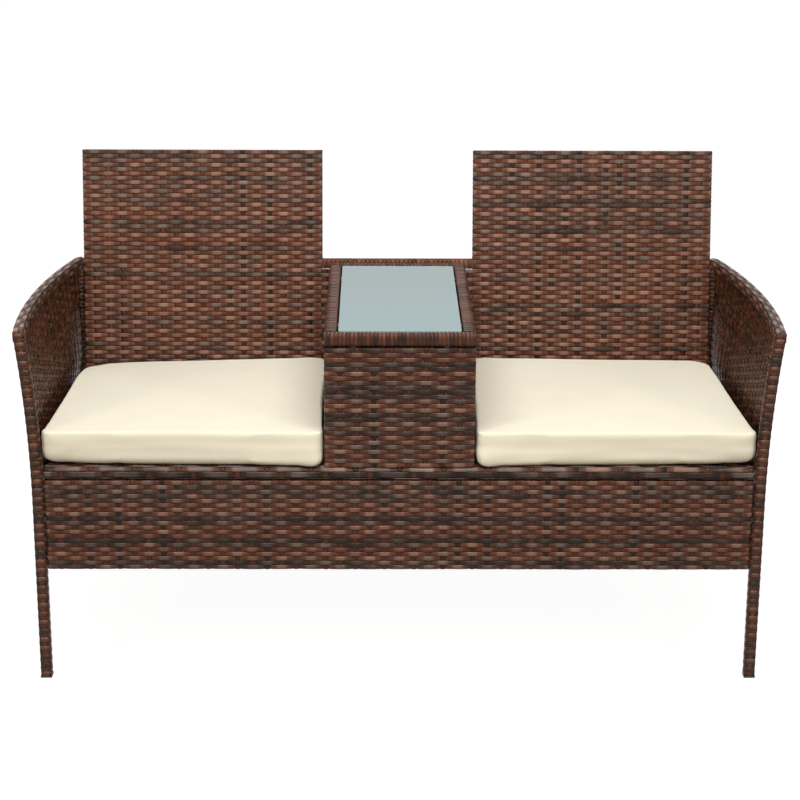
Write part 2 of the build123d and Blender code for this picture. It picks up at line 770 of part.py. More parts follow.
def fasteners(nodes):
    """Bolts, washers, nuts and spacers, with their holes drilled through every solid on the way."""
    hole_diameter = bolt_diameter + bolt_hole_clearance
    bolts = []
    washers = []
    nuts = []
    spacers = []
    places = [place for side in (1, -1) for place in side_bolts(side) + upright_bolts(side)]
    for seat, direction, clamp, gap in places:
        head_top = -washer_thickness - bolt_head_height
        nut_start = clamp + cover + tube_wall + nut_seat_gap
        bolt_end = nut_start + nut_height + bolt_tip
        head = rod(seat, direction, head_top, -washer_thickness, bolt_head_diameter)
        shank = rod(seat, direction, -washer_thickness, bolt_end, bolt_diameter)
        bolts.append(head + shank)
        hole = rod(seat, direction, -washer_thickness - through, bolt_end + through, hole_diameter)
        washers.append(rod(seat, direction, -washer_thickness, 0, washer_diameter) - hole)
        if gap > 0:
            spacers.append(rod(seat, direction, clamp - gap, clamp, spacer_diameter) - hole)
        nut_bore = rod(seat, direction, 0, bolt_end + through, bolt_diameter + nut_bore_clearance)
        nuts.append(rod(seat, direction, nut_start, nut_start + nut_height, nut_diameter) - nut_bore)
        drill(nodes, hole)
    return {"frame_bolts": bolts, "bolt_washers": washers, "bolt_nuts": nuts, "gap_spacers": spacers}


def drill(nodes, hole):
    """Cut the hole through every solid whose box it meets."""
    hole_box = hole.bounding_box()
    for solids in nodes.values():
        for place, solid in enumerate(solids):
            box = solid.bounding_box()
            sides = zip(box.min, box.max, hole_box.min, hole_box.max)
            apart = any(low > hole_high or high < hole_low for low, high, hole_low, hole_high in sides)
            if not apart:
                solids[place] = solid - hole


def bench():
    """Every node of the bench as a list of its solids."""
    nodes = {}
    for name, solids in arm_frame().items():
        nodes["right_" + name] = solids
        nodes["left_" + name] = [mirrored(solid) for solid in solids]
    for group in (foot_caps(), seat_panel(), apron_panel(), back_panel(), table_top(), table_box()):
        nodes.update(group)
    nodes.update(fasteners(nodes))
    nodes.update(cushions())
    return nodes


os.makedirs("parts", exist_ok=True)
for node, pieces in bench().items():
    solids = [solid for piece in pieces for solid in piece.solids()]
    shape = solids[0] if len(solids) == 1 else Compound(children=solids)
    export_step(shape, "parts/" + node + ".step")
    print(node, len(solids))
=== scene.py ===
import json
import math

import bpy
from mathutils import Matrix, Vector, noise


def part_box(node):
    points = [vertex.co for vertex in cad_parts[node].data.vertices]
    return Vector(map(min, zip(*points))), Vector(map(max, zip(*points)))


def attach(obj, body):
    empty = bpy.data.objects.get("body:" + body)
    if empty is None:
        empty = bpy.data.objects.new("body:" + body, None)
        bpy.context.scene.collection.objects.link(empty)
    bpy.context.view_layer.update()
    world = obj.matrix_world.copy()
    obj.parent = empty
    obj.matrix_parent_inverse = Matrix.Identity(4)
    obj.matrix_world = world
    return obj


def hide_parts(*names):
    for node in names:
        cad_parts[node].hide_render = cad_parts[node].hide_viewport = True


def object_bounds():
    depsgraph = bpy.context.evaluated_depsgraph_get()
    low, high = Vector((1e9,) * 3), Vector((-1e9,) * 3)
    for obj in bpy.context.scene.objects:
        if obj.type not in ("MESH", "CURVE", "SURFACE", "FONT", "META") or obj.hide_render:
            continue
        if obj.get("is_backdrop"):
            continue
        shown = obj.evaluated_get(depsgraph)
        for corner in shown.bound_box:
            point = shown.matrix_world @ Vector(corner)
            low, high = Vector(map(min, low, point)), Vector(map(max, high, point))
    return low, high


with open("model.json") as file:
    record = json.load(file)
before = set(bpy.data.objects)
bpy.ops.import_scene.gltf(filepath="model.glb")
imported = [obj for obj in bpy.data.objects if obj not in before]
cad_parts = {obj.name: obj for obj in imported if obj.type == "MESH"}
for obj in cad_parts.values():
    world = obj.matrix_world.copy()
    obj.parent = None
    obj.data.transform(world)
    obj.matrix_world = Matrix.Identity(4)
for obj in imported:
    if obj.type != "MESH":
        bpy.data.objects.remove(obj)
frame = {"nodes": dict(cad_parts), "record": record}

bl_info = {
    "name": "Woven Bench",
    "version": (1, 0, 0),
    "blender": (4, 5, 0),
    "location": "View3D > Sidebar > Woven Bench",
    "description": "Weaves, upholsters and stages the packed bench frame",
    "category": "Object",
}

cad_low, cad_high = (Vector(corner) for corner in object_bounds())

# Sizes of the frame that its boxes alone don't give, in metres, and the lean of its back
cover = 0.002
fit_gap = 0.0003
foot_cap_height = 0.004
leg_flare_start = 0.330
arm_apex_setback = 0.170
arm_rail_overhang = 0.002
arm_end_radius = 0.009
rear_bend_rise = 0.045
back_setback = 0.477
back_recline = math.radians(10.5)
edge_radius = 0.0035

side_axis, depth_axis, up_axis = (Vector(axis) for axis in ((1, 0, 0), (0, 1, 0), (0, 0, 1)))


def span(node):
    """Lowest and highest corner of a CAD node, grown by the strip that covers its tubes."""
    low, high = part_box(node)
    grow = Vector((cover, cover, cover))
    return Vector(low) - grow, Vector(high) + grow


# Places worked out from the frame's boxes
front = cad_low.y
rear = cad_high.y
arm_height = span("right_arm_rail")[1].z
leg_outer = span("right_lower_rail")[1].x
leg_inner = span("right_lower_rail")[0].x
leg_size = leg_outer - leg_inner
leg_middle = (leg_outer + leg_inner) / 2
front_leg_rear = front + leg_size
arm_underside = arm_height - leg_size
arm_rail_end = span("right_arm_rail")[1].y
rear_foot_y = rear - leg_size / 2
rear_top_y = arm_rail_end - arm_rail_overhang - leg_size / 2
arm_apex_y = front + arm_apex_setback
arm_bow = cad_high.x - leg_outer
rear_lean = leg_inner - span("right_rear_leg")[0].x
rear_bow = arm_bow + rear_lean
arm_radius = ((rear_top_y - arm_apex_y) ** 2 + rear_bow**2) / (2 * rear_bow)
arm_centre_x = cad_high.x - arm_radius
seat_height = span("seat_front_rail")[1].z
rail_size = seat_height - span("seat_front_rail")[0].z
lower_rail_base = span("right_lower_rail")[0].z
table_half = span("table_front_rail")[1].x
table_inner = table_half - rail_size


def arm_x(y, inset):
    """X of the right arm rail's bowed face that lies inset from its outer face."""
    return arm_centre_x + math.sqrt((arm_radius - inset) ** 2 - (y - arm_apex_y) ** 2)


leg_flare = arm_x(front_leg_rear, 0) - leg_outer
flare_rise = arm_height - leg_flare_start
flare_radius = (flare_rise**2 + leg_flare**2) / (2 * leg_flare)


def leg_x(z, inset):
    """X of the right front leg's face that lies inset from its outer face."""
    rise = max(z - leg_flare_start, 0)
    return leg_outer + flare_radius - math.sqrt((flare_radius + inset) ** 2 - rise**2)


def rear_leg_y(z):
    """Y of the raked rear leg's middle at height z."""
    return rear_foot_y + (rear_top_y - rear_foot_y) * z / arm_underside


rear_bend_low = seat_height
rear_bend_high = rear_bend_low + rear_bend_rise


def rear_leg_x(z):
    """X of the right rear leg's middle at height z, bent in just over the seat."""
    share = (z - rear_bend_low) / (rear_bend_high - rear_bend_low)
    return leg_middle - rear_lean * min(max(share, 0), 1)


def back_y(z):
    """Y of the back's front face at height z."""
    return front + back_setback + (z - seat_height) * math.tan(back_recline)


back_foot = seat_height + fit_gap + leg_size * math.sin(back_recline)
back_length = (cad_high.z - back_foot) / math.cos(back_recline)
back_place = Matrix.Translation((0, back_y(back_foot), back_foot)) @ Matrix.Rotation(-back_recline, 4, "X")
back_half = span("back_outer_posts")[1].x
notch_half = span("back_inner_posts")[1].x - leg_size
notch_top = (span("back_notch_rail")[1].z - back_foot) / math.cos(back_recline)


def setting_maker(kind, **options):
    """Function that makes settings of one kind, each with a name, a description and a default."""
    def make(name, description, default):
        return kind(name=name, description=description, default=default, **options)

    return make


count_setting = setting_maker(bpy.props.IntProperty)
plain_setting = setting_maker(bpy.props.FloatProperty)
length_setting = setting_maker(bpy.props.FloatProperty, unit="LENGTH")
share_setting = setting_maker(bpy.props.FloatProperty, subtype="FACTOR")
power_setting = setting_maker(bpy.props.FloatProperty, subtype="POWER")
angle_setting = setting_maker(bpy.props.FloatProperty, subtype="ANGLE")
colour_setting = setting_maker(bpy.props.FloatVectorProperty, size=3, subtype="COLOR")
place_setting = setting_maker(bpy.props.FloatVectorProperty, size=3, subtype="TRANSLATION")


class WeaveSettings(bpy.types.PropertyGroup):
    row_pitch: length_setting("Row Pitch", "Distance between rows of strip", 0.0084)
    row_width: share_setting("Row Width", "Width of a row as a share of its pitch", 0.9)
    wrap_width: share_setting("Wrap Width", "Width of a turn as a share of its pitch", 0.95)
    row_lift: length_setting("Row Lift", "How far a row rises over a stake", 0.0013)
    stake_lift: length_setting("Stake Lift", "How far a stake bulges over a row", 0.0003)
    stake_width: length_setting("Stake Width", "Width of a stake", 0.0084)
    stake_pitch: length_setting("Stake Pitch", "Distance between stakes", 0.0255)
    table_stake_pitch: length_setting("Table Stake Pitch", "Distance between stakes of the table", 0.029)
    wrap_pitch: length_setting("Wrap Pitch", "Distance between turns of strip on a bar", 0.0082)
    table_wrap_pitch: length_setting(
        "Table Wrap Pitch", "Distance between turns on the table frame", 0.0068)
    thickness: length_setting("Thickness", "Thickness of the strip", 0.0012)
    wander: length_setting("Wander", "How far strips stray from straight", 0.0022)
    seed: count_setting("Seed", "Seed of the weave's unevenness", 5)
    dark_strip: colour_setting("Dark Strip", "Darkest strip colour", (0.022, 0.010, 0.005))
    red_strip: colour_setting("Red Strip", "Red-brown strip colour", (0.104, 0.035, 0.016))
    warm_strip: colour_setting("Warm Strip", "Warm brown strip colour", (0.172, 0.076, 0.046))
    grey_strip: colour_setting("Grey Strip", "Grey-brown strip colour", (0.090, 0.054, 0.038))


class CushionSettings(bpy.types.PropertyGroup):
    fabric: colour_setting("Fabric", "Colour of the cover", (0.84, 0.795, 0.64))
    voxel: length_setting("Voxel", "Grid of the simulated cover", 0.005)
    inset: length_setting("Inset", "How much smaller the cover starts", 0.004)
    pressure: plain_setting("Pressure", "Pressure of the filling", 4.0)
    swell: length_setting("Swell", "Most that the cover may move", 0.004)
    wrinkle: length_setting("Wrinkle", "Depth of the creases", 0.0022)
    corner_rise: length_setting("Corner Rise", "How far the bottom corners lift", 0.009)
    edge_height: length_setting("Edge Height", "Height of the upper edge over the seat", 0.062)
    edge_draw: share_setting("Edge Draw", "How much the sides are drawn up to the upper edge", 1.22)
    crown: length_setting("Crown", "How far the middle of the top stands over its edge", 0.002)
    taper: length_setting("Taper", "How much narrower the rear is than the front", 0.018)
    spread: length_setting("Spread", "How far the outer side bulges toward the arm", 0.005)
    rear_sag: length_setting("Rear Sag", "How far the outer rear of the left top hangs", 0.012)
    rear_pull: length_setting("Rear Pull", "How far the left outer rear corner is drawn in", 0.018)
    overhang: length_setting("Overhang", "How far the inner front edge hangs over", 0.012)
    frames: count_setting("Frames", "Frames simulated", 20)


class FinishSettings(bpy.types.PropertyGroup):
    glass: colour_setting("Glass", "Tint of the pane", (0.24, 0.36, 0.37))
    steel: colour_setting("Steel", "Colour of the painted tubes", (0.035, 0.020, 0.015))
    plastic: colour_setting("Plastic", "Colour of caps and spacers", (0.012, 0.013, 0.013))
    zinc: colour_setting("Zinc", "Colour of bolts and washers", (0.42, 0.42, 0.40))
    bumper: colour_setting("Bumper", "Colour of the clear bumpers", (0.80, 0.84, 0.83))


class StageSettings(bpy.types.PropertyGroup):
    camera_place: place_setting("Camera Place", "Where the camera stands", (-0.0392, -3.7167, 1.6057))
    camera_pitch: angle_setting("Camera Pitch", "Angle that the camera looks down", math.radians(17.60))
    camera_yaw: angle_setting("Camera Yaw", "Angle that the camera looks right", math.radians(0.659))
    camera_roll: angle_setting("Camera Roll", "Angle that the camera is rolled", math.radians(0.294))
    camera_lens: plain_setting("Camera Lens", "Focal length in millimetres", 94.5)
    sun_strength: plain_setting("Sun Strength", "Strength of the even light from above", 0.56)
    overhead_power: power_setting("Overhead Power", "Power of the overhead light", 50.0)
    front_power: power_setting("Front Power", "Power of the light near the camera", 17.5)
    side_power: power_setting("Side Power", "Power of the light on each side", 13.5)
    front_tint: colour_setting("Front Tint", "Colour of the front and side lights", (1.0, 0.87, 0.69))
    world_strength: plain_setting("World Strength", "Strength of the light from all round", 0.07)
    backdrop_strength: plain_setting(
        "Backdrop Strength", "Strength of the light from behind the bench", 0.42)
    floor: colour_setting("Floor", "Colour of the floor", (0.27, 0.27, 0.27))
    floor_glow: plain_setting("Floor Glow", "Light that the camera sees the floor give", 0.93)


class BenchSettings(bpy.types.PropertyGroup):
    weave: bpy.props.PointerProperty(
        name="Weave", description="Sizes and colours of the strip", type=WeaveSettings)
    cushion: bpy.props.PointerProperty(
        name="Cushion", description="Shape and colour of the cushions", type=CushionSettings)
    finish: bpy.props.PointerProperty(
        name="Finish", description="Colours of glass, tubes and hardware", type=FinishSettings)
    stage: bpy.props.PointerProperty(
        name="Stage", description="Camera, lights and floor", type=StageSettings)


def settings():
    """The bench's settings in the open scene."""
    return bpy.context.scene.woven_bench


class Wire:
    """An output socket whose arithmetic adds maths nodes to its tree."""

    def __init__(self, board, socket):
        self.board = board
        self.socket = socket

    def maths(self, operation, *others):
        inputs = dict(enumerate((self, *others)))
        return self.board.node("ShaderNodeMath", inputs, operation=operation)

    def vector(self, operation, *others):
        inputs = dict(enumerate((self, *others)))
        return self.board.node("ShaderNodeVectorMath", inputs, operation=operation)

    def scaled(self, factor):
        return self.board.node("ShaderNodeVectorMath", {0: self, "Scale": factor}, operation="SCALE")

    def __add__(self, other):
        return self.maths("ADD", other)

    def __radd__(self, other):
        return self.maths("ADD", other)

    def __sub__(self, other):
        return self.maths("SUBTRACT", other)

    def __rsub__(self, other):
        return self.maths("MULTIPLY_ADD", -1.0, other)

    def __mul__(self, other):
        return self.maths("MULTIPLY", other)

    def __rmul__(self, other):
        return self.maths("MULTIPLY", other)

    def __truediv__(self, other):
        return self.maths("DIVIDE", other)

    def __rtruediv__(self, other):
        return self.maths("POWER", -1.0) * other


class Board:
    """A node tree being wired."""

    def __init__(self, tree):
        self.tree = tree

    def node(self, kind, inputs=(), output=0, **values):
        """Add a node, set its values and inputs, and give back one of its outputs."""
        node = self.tree.nodes.new(kind)
        for name, value in values.items():
            setattr(node, name, value)
        for key, value in dict(inputs).items():
            self.feed(node.inputs[key], value)
        return Wire(self, node.outputs[output]) if node.outputs else node

    def feed(self, socket, value):
        """Link a wire to a socket, or set the socket's own value."""
        if isinstance(value, Wire):
            self.tree.links.new(value.socket, socket)
        else:
            socket.default_value = value

    def smoothstep(self, value, low, high):
        """Value eased from 0 at low to 1 at high."""
        inputs = {"Value": value, "From Min": low, "From Max": high}
        return self.node("ShaderNodeMapRange", inputs, interpolation_type="SMOOTHSTEP")

    def parts(self, vector):
        """X, Y and Z of a vector wire."""
        split = self.node("ShaderNodeSeparateXYZ", {0: vector})
        return [Wire(self, socket) for socket in split.socket.node.outputs]

    def vector(self, x, y, z=0.0):
        """Vector wire from three values."""
        return self.node("ShaderNodeCombineXYZ", {0: x, 1: y, 2: z})

    def noise(self, place, scale=1.0, detail=2.0):
        """Noise at a place."""
        return self.node("ShaderNodeTexNoise", {"Vector": place, "Scale": scale, "Detail": detail})

    def spread(self, value, middle, width):
        """A value from 0 to 1, spread by a width about a middle."""
        return middle - width / 2 + value * width

    def bump(self, height, strength, distance):
        """Normal of a surface that rises with height."""
        return self.node("ShaderNodeBump", {"Strength": strength, "Distance": distance, "Height": height})

    def shaded(self, colour, shade):
        """One colour, lighter and darker with shade."""
        return self.vector(shade, shade, shade).vector("MULTIPLY", tuple(colour))

    def stored(self, geometry, name, value, data_type="FLOAT"):
        """Geometry whose points keep a value under a name."""
        inputs = {"Geometry": geometry, "Name": name, "Value": value}
        return self.node("GeometryNodeStoreNamedAttribute", inputs, data_type=data_type, domain="POINT")


def open_group(name, sockets):
    """New geometry tree with named inputs of each kind, its board and a wire for each input."""
    tree = bpy.data.node_groups.new(name, "GeometryNodeTree")
    labels = [(label, kind) for kind, names in sockets.items() for label in names]
    for label, kind in labels:
        tree.interface.new_socket(label, in_out="INPUT", socket_type="NodeSocket" + kind)
    tree.interface.new_socket("Geometry", in_out="OUTPUT", socket_type="NodeSocketGeometry")
    board = Board(tree)
    entry = tree.nodes.new("NodeGroupInput")
    wires = {label: Wire(board, entry.outputs[label]) for label, _ in labels}
    return board, wires


shared_floats = ("Length", "Height", "Thickness", "Repeat", "Wander")
strip_sockets = {
    "Geometry": ("Guide",),
    "Int": ("Seed", "Count", "Segments", "Sides"),
    "Float": (*shared_floats, "First", "Step", "Width", "Run", "Cross First", "Cross Step", "Cross Count",
              "Lift", "Upright", "Tone Low", "Tone High"),
}


def strip_group():
    """Node group that lays one set of parallel strips on a guide surface, by the guide's UV map."""
    board, given = open_group("Strip Set", strip_sockets)
    tube = board.node("GeometryNodeMeshCylinder", {
        "Vertices": given["Sides"], "Side Segments": given["Segments"], "Radius": 1.0, "Depth": 1.0})
    places = board.node("GeometryNodeMeshLine", {"Count": given["Count"], "Offset": (0, 0, 0)})
    copies = board.node("GeometryNodeInstanceOnPoints", {"Points": places, "Instance": tube})
    strips = board.node("GeometryNodeRealizeInstances", {0: copies})

    per_strip = given["Sides"] * (given["Segments"] + 1)
    strip = ((board.node("GeometryNodeInputIndex") + 0.5) / per_strip).maths("FLOOR")
    tube_x, tube_y, along = board.parts(board.node("GeometryNodeInputPosition"))
    tilt = math.pi / given["Sides"]
    level_x = tube_x - tube_y * tilt.maths("TANGENT")
    across = level_x.maths("ABSOLUTE").maths("SQRT") * level_x.maths("SIGN")
    over = tube_x * tilt.maths("SINE") + tube_y * tilt.maths("COSINE")
    run = (along + 0.5) * given["Run"]
    middle = given["First"] + (strip + 0.5) * given["Step"]

    crossing = (run - given["Cross First"]) / given["Cross Step"] - 0.5 + strip
    half_repeat = given["Repeat"] * 0.5
    away = crossing.maths("WRAP", half_repeat, half_repeat * -1.0).maths("ABSOLUTE").maths("MINIMUM", 1.0)
    # A row lies at -1 under a stake, at this level beside it and at 1 on its crown
    level = 0.5
    climb_limits = (0.03, 0.42)
    crown_limits = (0.5, 0.78)
    climb = board.smoothstep(away, *climb_limits)
    crown = board.smoothstep(away, *crown_limits)
    wave = climb * (1.0 + level) - 1.0 + crown * (1.0 - level)
    cross_end = given["Cross First"] + given["Cross Step"] * given["Cross Count"]
    margin = given["Cross Step"] * 0.5
    enter = board.smoothstep(run, given["Cross First"] - margin, given["Cross First"] + margin)
    leave = board.smoothstep(run, cross_end - margin, cross_end + margin)
    wave = wave * enter * (1.0 - leave)

    side = middle + across * given["Width"] * 0.5
    height = given["Lift"] * wave + over * given["Thickness"] * 0.5
    flat_u = run + (side - run) * given["Upright"]
    flat_v = side + (run - side) * given["Upright"]

    seed_step = 7.31
    stray_scale = 9.0
    stray_place = board.vector(flat_u, flat_v, given["Seed"] * seed_step)
    stray = board.node("ShaderNodeTexNoise", {
        "Vector": stray_place, "Scale": stray_scale, "Detail": 1.0}, output="Color")
    stray_u, stray_v, _ = board.parts(stray)
    bent_u = flat_u + (stray_u - 0.5) * given["Wander"]
    bent_v = flat_v + (stray_v - 0.5) * given["Wander"]
    rim = 0.00002
    shares = (bent_u / given["Length"], bent_v / given["Height"])
    uv = board.vector(*(share.maths("MAXIMUM", rim).maths("MINIMUM", 1.0 - rim) for share in shares))
    uv_map = board.node("GeometryNodeInputNamedAttribute", {"Name": "UVMap"}, data_type="FLOAT_VECTOR")
    place, normal = (
        board.node("GeometryNodeSampleUVSurface", {
            "Mesh": given["Guide"], "Value": board.node(field), "UV Map": uv_map, "Sample UV": uv,
        }, data_type="FLOAT_VECTOR")
        for field in ("GeometryNodeInputPosition", "GeometryNodeInputNormal"))

    tone = board.node("FunctionNodeRandomValue", {
        2: given["Tone Low"], 3: given["Tone High"], "ID": strip, "Seed": given["Seed"],
    }, output=1, data_type="FLOAT")
    # Rows keep how far they rise, plain turns a middling rise and stakes none; the strip material paints
    # highlight where the rise is high and shade where it is low
    plain_rise = 0.66
    lifted = given["Lift"].maths("GREATER_THAN", 0.0)
    sunk = given["Lift"].maths("LESS_THAN", 0.0)
    rise = plain_rise + (away - plain_rise) * lifted - plain_rise * sunk
    strips = board.stored(strips, "tone", tone)
    strips = board.stored(strips, "strip", board.vector(run, side, strip), "FLOAT_VECTOR")
    strips = board.stored(strips, "rise", rise)
    strips = board.node("GeometryNodeSetPosition", {
        "Geometry": strips, "Position": place.vector("ADD", normal.scaled(height))})
    strips = board.node("GeometryNodeSetShadeSmooth", {"Geometry": strips})
    board.node("NodeGroupOutput", {"Geometry": strips})
    return board.tree


weave_sockets = {
    "Geometry": ("Geometry",),
    "Int": ("Seed", "Rows", "Row Segments", "Row Sides", "Stakes", "Stake Segments"),
    "Float": (*shared_floats, "Row Step", "Row Width", "Row Lift", "Row Tone Low", "Row Tone High",
              "Stake First", "Stake Step", "Stake Width", "Stake Lift", "Stake Tone Low", "Stake Tone High",
              "Filler Width"),
    "Material": ("Material",),
}

# Most sides of a stake, and the dark strip behind the gaps between rows, painted shade that also closes them:
# its share of the strip's thickness and its tones
most_stake_sides = 6.0
filler_thickness = 0.3
gap_painted_shade_tones = (0.0, 0.02)


def weave_group():
    """Node tree that weaves rows and stakes of strip on a guide surface."""
    board, given = open_group("Woven Strips", weave_sockets)
    strip_set = strip_group()
    shared = {label: given[label] for label in (*shared_floats, "Seed")}
    shared["Guide"] = given["Geometry"]
    rows, stakes, fillers = (board.node("GeometryNodeGroup", node_tree=strip_set) for _ in range(3))
    row_inputs = {
        "Count": given["Rows"], "Segments": given["Row Segments"], "Sides": given["Row Sides"],
        "Step": given["Row Step"], "Width": given["Row Width"], "Run": given["Length"],
        "Cross First": given["Stake First"], "Cross Step": given["Stake Step"],
        "Cross Count": given["Stakes"], "Lift": given["Row Lift"], "Tone Low": given["Row Tone Low"],
        "Tone High": given["Row Tone High"],
    }
    stake_inputs = {
        "Count": given["Stakes"], "Segments": given["Stake Segments"],
        "Sides": given["Row Sides"].maths("MINIMUM", most_stake_sides), "First": given["Stake First"],
        "Step": given["Stake Step"], "Width": given["Stake Width"], "Run": given["Height"],
        "Cross Step": given["Row Step"], "Cross Count": given["Rows"], "Lift": given["Stake Lift"] * -1.0,
        "Upright": 1.0, "Tone Low": given["Stake Tone Low"], "Tone High": given["Stake Tone High"],
    }
    filler_inputs = {
        "Count": (given["Rows"] - 1.0) * given["Stakes"].maths("MINIMUM", 1.0),
        "Segments": given["Row Segments"] * 0.5, "Sides": 4, "First": given["Row Step"] * 0.5,
        "Step": given["Row Step"], "Width": given["Filler Width"], "Run": given["Length"],
        "Thickness": given["Thickness"] * filler_thickness, "Tone Low": gap_painted_shade_tones[0],
        "Tone High": gap_painted_shade_tones[1],
    }
    for group, inputs in ((rows, row_inputs), (stakes, stake_inputs), (fillers, filler_inputs)):
        node = group.socket.node
        for label, value in {**shared, **inputs}.items():
            board.feed(node.inputs[label], value)
    joined = board.node("GeometryNodeJoinGeometry")
    for group in (rows, stakes, fillers):
        board.tree.links.new(group.socket, joined.socket.node.inputs[0])
    real = board.node("GeometryNodeRealizeInstances", {0: joined})
    painted = board.node("GeometryNodeSetMaterial", {"Geometry": real, "Material": given["Material"]})
    board.node("NodeGroupOutput", {"Geometry": painted})
    return board.tree


def shared_tree():
    """The weaving tree, built once."""
    return bpy.data.node_groups.get("Woven Strips") or weave_group()


def link_object(name, data):
    """New object of a mesh, light or camera in the scene."""
    item = bpy.data.objects.new(name, data)
    bpy.context.scene.collection.objects.link(item)
    return item


def lengths(points):
    """Running length along a list of points."""
    total = [0.0]
    for first, second in zip(points, points[1:]):
        total.append(total[-1] + (second - first).length)
    return total


def guide_mesh(grid):
    """Mesh of a grid of points whose UV map holds shares of its length and height, with both lengths."""
    columns = len(grid[0])
    along = lengths(grid[len(grid) // 2])
    up = lengths([row[columns // 2] for row in grid])
    points = [point for row in grid for point in row]
    faces = []
    for level in range(len(grid) - 1):
        for column in range(columns - 1):
            corner = level * columns + column
            faces.append((corner, corner + 1, corner + columns + 1, corner + columns))
    mesh = bpy.data.meshes.new("guide")
    mesh.from_pydata(points, [], faces)
    layer = mesh.uv_layers.new(name="UVMap")
    for loop in mesh.loops:
        level, column = divmod(loop.vertex_index, columns)
        layer.data[loop.index].uv = (along[column] / along[-1], up[level] / up[-1])
    mesh.polygons.foreach_set("use_smooth", [True] * len(mesh.polygons))
    return mesh, along[-1], up[-1]


# Ranges of strip tone, from dark at 0 through red, warm and grey strip to dark again at 1
field_tones = (0.3, 1.0)
# The back's mix leaves out the darkest tones: painted light, as the back leans back toward the light
back_painted_light_tones = (0.44, 0.86)
bar_tones = (0.25, 0.6)
seat_rail_tones = (0.7, 1.0)
front_leg_tones = (0.06, 0.3)
# The rear legs keep to the darkest tones: painted shade where they stand beside the back
rear_legs_painted_shade_tones = (0.0, 0.2)
arm_rail_tones = (0.6, 0.88)
table_tones = (0.02, 0.3)
# Field stakes run from dark to red: partly their own colour and partly painted shade, as they sit back
# between the rows
field_stake_tones = (0.0, 0.45)
leg_stake_tones = (0.5, 0.95)
# The arm rails' stakes are near black: painted shade, so that where they show between the rows they read as
# shaded slots
slot_shade_stake_tones = (0.0, 0.05)

# Widths of the dark strip behind the gaps between rows, painted shade that also closes them, as shares of the
# row pitch
open_filler = 0.4
closed_filler = 1.02

# Segments of one turn round a bar
turn_segments = 16


def strip_mesh(grid, seed, stake_pitch=0.0, stake_span=None, stakes=None, pitch=None, lift=None, repeat=2,
               row_sides=8, per_stake=6, wander=1.0, tones=field_tones, filler=open_filler,
               stake_tones=field_stake_tones, stake_share=1.0, row_share=1.0):
    """Object of strips woven on a grid of guide points.

    stake_span is where stakes start and stop along the length. stakes gives their number where the pitch
    doesn't. Rows of a bar without stakes are turns.
    """
    weave = settings().weave
    mesh, length, height = guide_mesh(grid)
    lift = weave.row_lift if lift is None else lift
    rows = max(1, round(height / (pitch or weave.row_pitch)))
    row_step = height / rows
    start, stop = stake_span or (0.0, length)
    if stakes is None:
        stakes = round((stop - start) / stake_pitch) if stake_pitch else 0
    stake_step = (stop - start) / stakes if stakes else length
    inputs = {
        "Length": length, "Height": height, "Thickness": weave.thickness, "Repeat": float(repeat),
        "Wander": weave.wander * wander, "Seed": weave.seed + seed, "Rows": rows, "Row Step": row_step,
        "Row Width": row_step * row_share * (weave.row_width if stakes else weave.wrap_width),
        "Row Segments": max(turn_segments, round(length / stake_step * per_stake) if stakes else 0),
        "Row Sides": row_sides, "Row Lift": lift if stakes else 0.0, "Row Tone Low": tones[0],
        "Row Tone High": tones[1], "Stakes": stakes, "Stake First": start, "Stake Step": stake_step,
        "Stake Width": weave.stake_width * stake_share, "Stake Segments": rows * per_stake * 2 // 3,
        "Stake Lift": weave.stake_lift, "Stake Tone Low": stake_tones[0], "Stake Tone High": stake_tones[1],
        "Filler Width": row_step * filler, "Material": strip_material(),
    }
    return converted(link_object("guide", mesh), shared_tree(), inputs)


def converted(guide, tree, inputs):
    """Run a tree on a guide object and give back a plain object of the result."""
    modifier = guide.modifiers.new("weave", "NODES")
    modifier.node_group = tree
    for item in tree.interface.items_tree:
        if item.item_type == "SOCKET" and item.in_out == "INPUT" and item.name in inputs:
            modifier[item.identifier] = inputs[item.name]
    depsgraph = bpy.context.evaluated_depsgraph_get()
    result = bpy.data.meshes.new_from_object(guide.evaluated_get(depsgraph), depsgraph=depsgraph)
    source = guide.data
    bpy.data.objects.remove(guide)
    bpy.data.meshes.remove(source)
    return link_object("strips", result)


def joined_piece(name, objects, body, *nodes):
    """Join strip objects into one piece that stands for CAD nodes and rides a body."""
    first = objects[0]
    if len(objects) > 1:
        with bpy.context.temp_override(active_object=first, object=first, selected_objects=objects,
                                       selected_editable_objects=objects):
            bpy.ops.object.join()
    first.name = name
    first.data.name = name
    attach(first, body)
    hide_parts(*nodes)


# Segments of a rounded corner
corner_facets = 4


def ring(half_a, half_b, radius):
    """Points of a rounded rectangle, counter-clockwise from the middle of its (+a, -b) corner."""
    radius = min(radius, half_a, half_b)
    points = []
    for number, (side_a, side_b) in enumerate(((1, -1), (1, 1), (-1, 1), (-1, -1), (1, -1))):
        for step in range(corner_facets + 1):
            past_half = step - corner_facets // 2
            if (number == 0 and past_half < 0) or (number == 4 and past_half > 0):
                continue
            angle = math.radians(90 * (number - 1) + 90 * step / corner_facets)
            points.append((side_a * (half_a - radius) + radius * math.cos(angle),
                           side_b * (half_b - radius) + radius * math.sin(angle)))
    return points


def sleeve(stations, radius=edge_radius):
    """Guide points round a bar: a ring at each station of centre, axes and half sizes."""
    return [[centre + axis_a * a + axis_b * b for a, b in ring(half_a, half_b, radius)]
            for centre, axis_a, axis_b, half_a, half_b in stations]


bar_axes = {
    "X": (depth_axis, up_axis, side_axis),
    "Y": (-up_axis, -side_axis, depth_axis),
}


